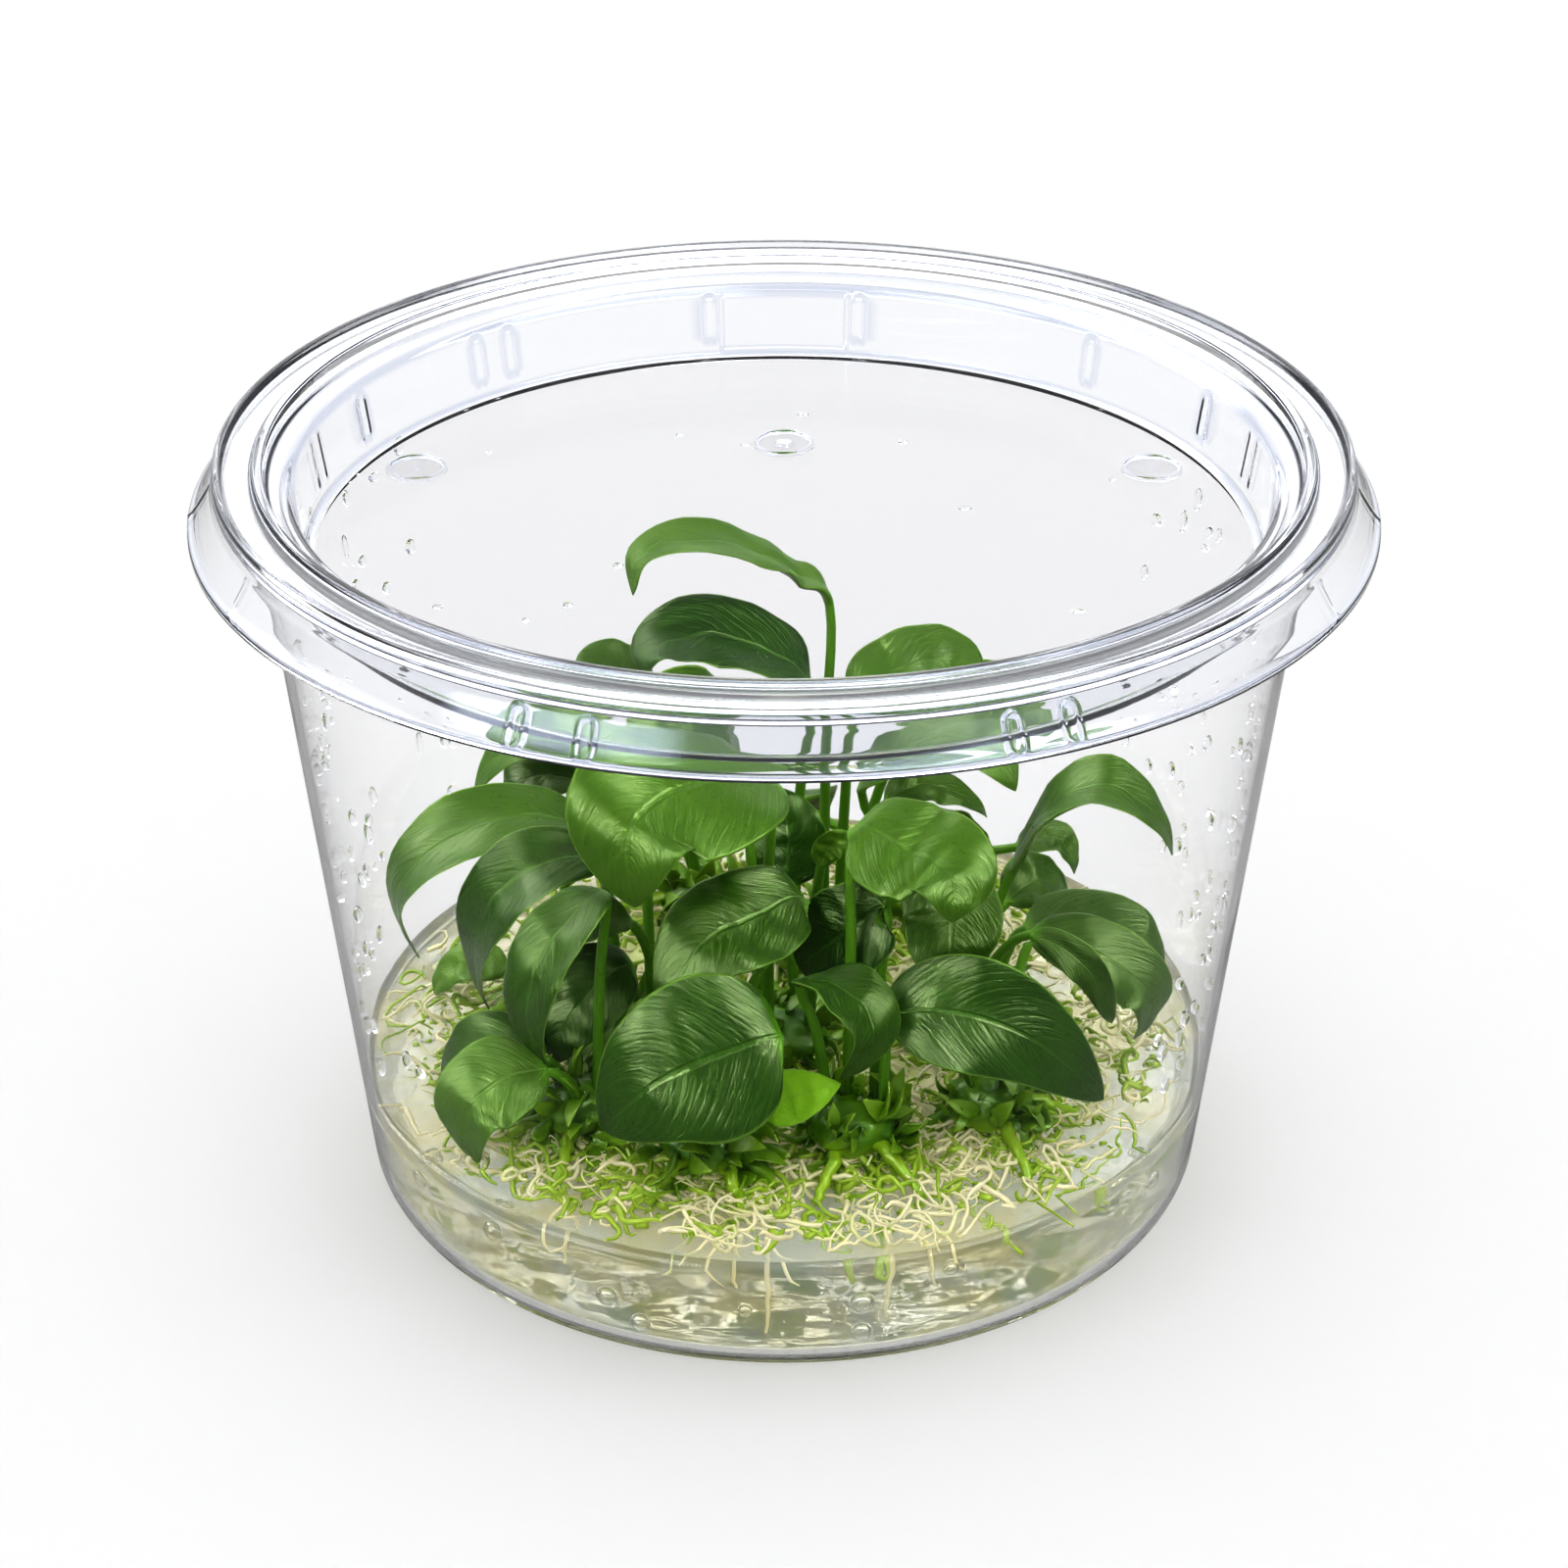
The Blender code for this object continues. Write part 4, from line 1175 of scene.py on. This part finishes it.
def buildMatBed():
    # The dense felt of roots under the strands
    b = matBed
    rings = [Vector((b["reach"] * k / b["rings"], b["top"])) for k in range(b["rings"] + 1)]
    under = [Vector((b["reach"] * (1 - k / 6), b["foot"])) for k in range(1, 7)]
    bed = turnedShell("rootFelt", rings + under, evenAngles(b["columns"]), rootCream)
    tones = []
    for vert in bed.data.vertices:
        x, y, z = vert.co / mm
        angle = math.atan2(y, x)
        spread = 1.0 + 0.16 * noise.noise(Vector((2 * math.cos(angle), 2 * math.sin(angle), 1.0)))
        vert.co.x *= spread
        vert.co.y *= spread
        rough = noise.fractal(Vector((x, y, z)) / 1.7, 0.8, 2.2, 4)
        edge = smoothShare(b["reach"] - math.hypot(x, y), 0.0, 6.0)
        if z > b["foot"] + 0.5:
            vert.co.z += (b["lump"] * max(rough, -0.6) - 0.6 * (1.0 - edge)) * mm
        tones.append(max(0.0, min(1.0, 0.25 + 0.8 * noise.noise(Vector((x, y, 7.0)) / 4.0))))
    setPointValues(bed.data, "tone", tones)
    bed.visible_shadow = False  # light soaks through the thin felt into the gel
    bed.visible_diffuse = False
    finishPiece(bed, "root", "root_mat")


# Crowns: lumpy stems, thick roots and small cupped sprouts

crownForm = {
    "lump": 0.14,
    "rootRadius": 0.9,
    "sprouts": 75,
    "sproutSize": 3.4,
}


def startScatter(name, *sockets):
    # A tree that scatters points over the faces of its source
    tree, start, end = startTree(name, (
        ("Density", "NodeSocketFloat", 9000.0),
        ("Size", "NodeSocketFloat", 0.001),
        ("Seed", "NodeSocketInt", 3),
        ("Material", "NodeSocketMaterial", None),
    ) + sockets)
    spots = addNode(tree, "GeometryNodeDistributePointsOnFaces", (
        ("Mesh", start.outputs["Geometry"]),
        ("Density", start.outputs["Density"]),
        ("Seed", start.outputs["Seed"]),
    ))
    return tree, start, end, spots


def randomVector(tree, start, low, high):
    return addNode(
        tree, "FunctionNodeRandomValue", ((0, low), (1, high), ("Seed", start.outputs["Seed"])),
        data_type="FLOAT_VECTOR")


def endScatter(tree, start, end, spots, shape, rotation, scale):
    put = addNode(tree, "GeometryNodeInstanceOnPoints", (
        ("Points", spots.outputs["Points"]), ("Instance", shape), ("Rotation", rotation), ("Scale", scale)))
    endTree(tree, put.outputs[0], start.outputs["Material"], end)
    return tree


def sproutTree():
    tree, start, end, spots = startScatter("sproutRing", ("Sprout", "NodeSocketObject", None))
    info = addNode(tree, "GeometryNodeObjectInfo", (("Object", start.outputs["Sprout"]),))
    turn = randomVector(tree, start, (-0.9, -0.9, 0.0), (0.9, 0.9, 6.283))
    spin = addNode(tree, "FunctionNodeRotateRotation", (
        (0, spots.outputs["Rotation"]), (1, turn.outputs[0])), rotation_space="LOCAL")
    grow = addNode(tree, "FunctionNodeRandomValue", (
        ("Min", 0.3), ("Max", 1.25), ("Seed", start.outputs["Seed"])), data_type="FLOAT")
    size = addNode(
        tree, "ShaderNodeMath", ((0, grow.outputs[1]), (1, start.outputs["Size"])), operation="MULTIPLY")
    return endScatter(tree, start, end, spots, info.outputs["Geometry"], spin.outputs[0], size.outputs[0])


def sproutShape():
    # A small cupped leaf one unit long, standing along +Z
    rows = ((0, 0.07, 0), (0.2, 0.15, 0.04), (0.5, 0.26, 0.16), (0.78, 0.2, 0.4), (0.95, 0.03, 0.62))
    verts = []
    for height, half, lean in rows:
        for i in range(8):
            angle = math.tau * i / 8
            u = math.cos(angle)
            verts.append((half * u, lean - 0.5 * half * u * u + 0.05 * math.sin(angle), height))
    sprout = meshObject("sproutShape", verts, tubeFaces(len(rows), 8), stemGreen)
    setPointValues(sprout.data, "tone", [1.0 - 0.5 * v[2] for v in verts])
    return sprout


def scrapShape():
    # A flat curled bit of root skin, one unit long
    verts = []
    for k in range(7):
        angle = 3.4 * k / 6
        radius = 0.32 - 0.02 * k
        half = 0.07 + 0.06 * math.sin(math.pi * k / 6)
        for side, deep in ((-half, 0.0), (half, 0.0), (half, 0.035), (-half, 0.035)):
            reach = radius + deep
            verts.append((reach * math.cos(angle), reach * math.sin(angle), side))
    scrap = meshObject("scrapShape", verts, tubeFaces(7, 4), rootGreen)
    faceOutward(scrap.data)
    setPointValues(scrap.data, "tone", [0.85] * len(verts))
    return scrap


def buildScraps():
    # Scraps lie evenly on a field a little above the gel
    r = rootNet
    verts = [Vector((0.0, -4.0, 12.9)) * mm]
    for reach, height in ((22.0, 12.9), (r["reach"], 12.1)):
        for k in range(36):
            angle = math.tau * k / 36
            y = -2.0 + reach * math.sin(angle) * 0.96
            verts.append(Vector((reach * math.cos(angle), y, height)) * mm)
    faces = [(0, 1 + k, 1 + (k + 1) % 36) for k in range(36)]
    faces += [(1 + k, 37 + k, 37 + (k + 1) % 36, 1 + (k + 1) % 36) for k in range(36)]
    field = meshObject("rootScraps", verts, faces, rootCream)
    scrap = scrapShape()
    area = sum(p.area for p in field.data.polygons)
    values = {"Density": r["scraps"] / area, "Size": r["scrapSize"] * mm, "Seed": 21, "Sprout": scrap,
              "Material": rootGreen}
    finishPiece(bakedMesh("rootScraps", field, sproutTree(), values), "root", "root_mat")
    bpy.data.objects.remove(scrap, do_unlink=True)


def lumpyStem(name, middle, halfLength, height):
    bm = bmesh.new()
    bmesh.ops.create_icosphere(bm, subdivisions=4, radius=1.0)
    for vert in bm.verts:
        n = vert.co.normalized()
        lumps = noise.fractal(n * 2.3 + Vector((middle[0], middle[1], 0)), 0.8, 2.1, 3)
        swell = 1.0 + crownForm["lump"] * lumps
        vert.co = Vector((
            middle[0] + halfLength * swell * n.x,
            middle[1] + 0.85 * halfLength * swell * n.y,
            leafForm["foot"] + 0.5 * height + 0.56 * height * swell * n.z)) * mm
    mesh = bpy.data.meshes.new(name)
    bm.to_mesh(mesh)
    bm.free()
    mesh.shade_smooth()
    mesh.materials.append(stemGreen)
    foot = leafForm["foot"] * mm
    climbs = [(vert.co.z - foot) / (0.6 * height * mm) for vert in mesh.vertices]
    setPointValues(mesh, "tone", [min(1.0, max(0.0, climb)) for climb in climbs])
    return linkedObject(name, mesh)


def thickRoots(name, middle, height, rootEnds, rng):
    strands = []
    foot = leafForm["foot"]
    for end in rootEnds:
        start = Vector((*middle, foot + 0.45 * height))
        tip = Vector((*end, foot - 0.4))
        knee = start.lerp(tip, 0.55) + Vector((0, 0, 0.9))
        path = [curvePoint([start, knee, tip], 2.0 * k / 14) for k in range(15)]
        path = [p + 0.25 * Vector((rng.uniform(-1, 1), rng.uniform(-1, 1), rng.uniform(-1, 1))) for p in path]
        strands.append((path, [1.0 - 0.035 * k for k in range(15)], 0.15))
    return strandObject(name, strands, crownForm["rootRadius"], 8, stemGreen)


def buildCrowns():
    tree = sproutTree()
    sprout = sproutShape()
    for k, (name, (middle, halfLength, height, rootEnds)) in enumerate(crownPlaces.items()):
        rng = random.Random(name)
        stem = lumpyStem("stem", middle, halfLength, height)
        carrier = stem.copy()
        carrier.data = stem.data.copy()
        bpy.context.scene.collection.objects.link(carrier)
        area = sum(p.area for p in stem.data.polygons)
        values = {"Density": crownForm["sprouts"] / area, "Size": crownForm["sproutSize"] * mm, "Seed": k,
                  "Sprout": sprout, "Material": stemGreen}
        sprouts = bakedMesh("sprouts", carrier, tree, values)
        roots = thickRoots("thickRoots", middle, height, rootEnds, rng)
        crown = joinObjects("stemTuft_" + name, [stem, sprouts, roots])
        finishPiece(crown, "crown", "crown_" + name)
    bpy.data.objects.remove(sprout, do_unlink=True)


buildRoots()
buildMatBed()
buildScraps()
print("roots laid")
buildCrowns()
print("stems and sprouts set")


# Condensed drops and bubbles

dropField = {
    "sides": ((52.0, 128.0), (-128.0, -52.0)),
    "low": 17.0,
    "high": 64.0,
    "perSquareMetre": 26000.0,
    "size": 0.85,
    "seed": 8,
    "panelReach": 38.0,
    "panelPerSquareMetre": 2600.0,
    "panelSize": 0.5,
    "panelSeed": 4,
}


def dropTree():
    tree, start, end, spots = startScatter("condensedDrops")
    onWall = addNode(
        tree, "FunctionNodeAlignRotationToVector", (("Vector", spots.outputs["Normal"]),), axis="Z")
    upright = addNode(tree, "FunctionNodeAlignRotationToVector", (
        ("Rotation", onWall.outputs[0]), ("Vector", (0.0, 0.0, 1.0))), axis="Y", pivot_axis="Z")
    bead = addNode(tree, "GeometryNodeMeshIcoSphere", (("Radius", 1.0), ("Subdivisions", 2)))
    grow = randomVector(tree, start, (0.35, 0.45, 0.3), (0.95, 1.5, 0.5))
    size = addNode(tree, "ShaderNodeVectorMath", (
        (0, grow.outputs[0]), (3, start.outputs["Size"])), operation="SCALE")
    return endScatter(tree, start, end, spots, bead.outputs["Mesh"], upright.outputs[0], size.outputs[0])


def wallPatch(name, first, last):
    d = dropField
    verts = []
    columns = 12
    for z in (d["low"], d["high"]):
        for k in range(columns + 1):
            angle = math.radians(first + (last - first) * k / columns)
            radius = innerRadius(z) - 0.42
            verts.append(Vector((radius * math.sin(angle), -radius * math.cos(angle), z)) * mm)
    faces = [(k + 1, k, columns + 1 + k, columns + 2 + k) for k in range(columns)]
    return meshObject(name, verts, faces, waterDrops)


def buildDrops():
    d = dropField
    tree = dropTree()
    patch = joinObjects("dropsOnWall", [wallPatch("patch", first, last) for first, last in d["sides"]])
    height = lidShape["panelTop"] - lidShape["thickness"] - 0.3
    verts = [aroundAxis(d["panelReach"], math.tau * k / 24, height) for k in range(24)]
    panel = meshObject("dropsUnderPanel", verts, [tuple(range(24))[::-1]], waterDrops)
    rows = (
        (patch, d["perSquareMetre"], d["size"], d["seed"]),
        (panel, d["panelPerSquareMetre"], d["panelSize"], d["panelSeed"]))
    for source, density, size, seed in rows:
        values = {"Density": density, "Size": size * mm, "Seed": seed, "Material": waterDrops}
        finishPiece(bakedMesh(source.name, source, tree, values), "clear_plastic")


bubbles = {
    "rows": ((-33.5, 8.2, 1.0), (-26.5, 8.0, 1.15), (-16.0, 5.2, 1.1), (-13.0, 3.0, 0.95), (7.0, 6.6, 1.25),
             (7.0, 3.1, 1.0), (34.0, 7.4, 1.0), (-3.5, 6.0, 0.7), (15.0, 9.0, 0.8), (-33.0, 11.0, 0.6)),
    "depth": 1.7,
}


def buildBubbles():
    # Rows are side position, height and radius; each bubble lies close behind the front of the wall
    parts = []
    for x, z, radius in bubbles["rows"]:
        reach = innerRadius(z) - bubbles["depth"]
        place = Vector((x, -math.sqrt(reach * reach - x * x), z))
        bm = bmesh.new()
        bmesh.ops.create_icosphere(bm, subdivisions=4, radius=radius * mm)
        bmesh.ops.translate(bm, verts=bm.verts, vec=place * mm)
        mesh = bpy.data.meshes.new("bubble")
        bm.to_mesh(mesh)
        bm.free()
        mesh.shade_smooth()
        mesh.materials.append(bubbleAir)
        parts.append(linkedObject("bubble", mesh))
    finishPiece(joinObjects("gelBubbles", parts), "culture_gel")


buildDrops()
buildBubbles()
print("drops and bubbles placed")


# Studio

def outerMirror(tree):
    # 1 for light that the nearest wall mirrors, which would veil the plant; the floor is painted darker there
    path = tree.nodes.new("ShaderNodeLightPath")
    mirrored = mathNode(tree, "GREATER_THAN", path.outputs["Glossy Depth"], 0.5)
    near = mathNode(tree, "LESS_THAN", path.outputs["Transmission Depth"], 2.5)
    return times(tree, mirrored, near)


def skySpot(tree, way, direction, outer, inner):
    # A round soft patch of the sky around a direction, its limits given as cosines
    dot = tree.nodes.new("ShaderNodeVectorMath")
    dot.operation = "DOT_PRODUCT"
    tree.links.new(way, dot.inputs[0])
    dot.inputs[1].default_value = Vector(direction).normalized()
    return rangeNode(tree, dot.outputs["Value"], outer, inner)


def buildStudio():
    s = studio
    half = 0.5 * s["floorSize"] * mm
    material, tree, shader, coords = startMaterial("paleFloor")
    # The floor is painted darker where the nearest wall mirrors it: painted shade that thins its reflection
    # over the plant
    dim = tuple(s["mirrorFloor"] * c for c in s["floorColour"])
    tree.links.new(mixColour(tree, outerMirror(tree), s["floorColour"], dim), shader.inputs["Base Color"])
    shader.inputs["Roughness"].default_value = 0.9
    shader.inputs["Specular IOR Level"].default_value = 0.0
    height = -0.15 * mm
    corners = ((-half, -half, height), (half, -half, height), (half, half, height), (-half, half, height))
    floor = meshObject("paleFloor", corners, [(0, 1, 2, 3)], material, False)

    world = bpy.data.worlds.new("paleSky")
    world.use_nodes = True
    bpy.context.scene.world = world
    tree = world.node_tree
    place = tree.nodes.new("ShaderNodeTexCoord")
    parts = tree.nodes.new("ShaderNodeSeparateXYZ")
    tree.links.new(place.outputs["Generated"], parts.inputs[0])
    climb = rangeNode(tree, parts.outputs[2], *s["skyClimb"])
    matt = tree.nodes.new("ShaderNodeLightPath").outputs["Is Diffuse Ray"]
    soft = mixColour(tree, climb, s["skyLow"], s["skyTop"])
    mirror = mixColour(tree, climb, s["mirrorLow"], s["mirrorTop"])
    for direction, outer, inner, glow in s["mirrorSpots"]:
        spot = skySpot(tree, place.outputs["Generated"], direction, outer, inner)
        mirror = mixColour(tree, spot, mirror, (glow, glow, glow))
    tree.links.new(mixColour(tree, matt, mirror, soft), tree.nodes["Background"].inputs["Color"])
    world.cycles.sampling_method = "NONE"


def buildCamera():
    v = viewSetup
    tilt = math.radians(v["elevation"])
    target = Vector((0, 0, v["lookAtHeight"])) * mm
    back = Vector((0, -math.cos(tilt), math.sin(tilt)))
    lens = bpy.data.cameras.new("photoView")
    lens.lens = v["lens"]
    lens.sensor_width = 36.0
    lens.clip_start = 0.01
    camera = linkedObject("photoView", lens)
    camera.location = target + back * v["distance"] * mm
    camera.rotation_euler = (-back).to_track_quat("-Z", "Y").to_euler()
    bpy.context.scene.camera = camera


buildStudio()
buildCamera()
scene = bpy.context.scene
scene.view_settings.view_transform = "Standard"
scene.view_settings.look = "High Contrast"
lightPaths = {
    "max_bounces": 11,
    "transmission_bounces": 11,
    "transparent_max_bounces": 12,
    "diffuse_bounces": 2,
    "glossy_bounces": 3,
    "caustics_reflective": False,
    "caustics_refractive": False,
}
for label, value in lightPaths.items():
    setattr(scene.cycles, label, value)
print("studio ready")
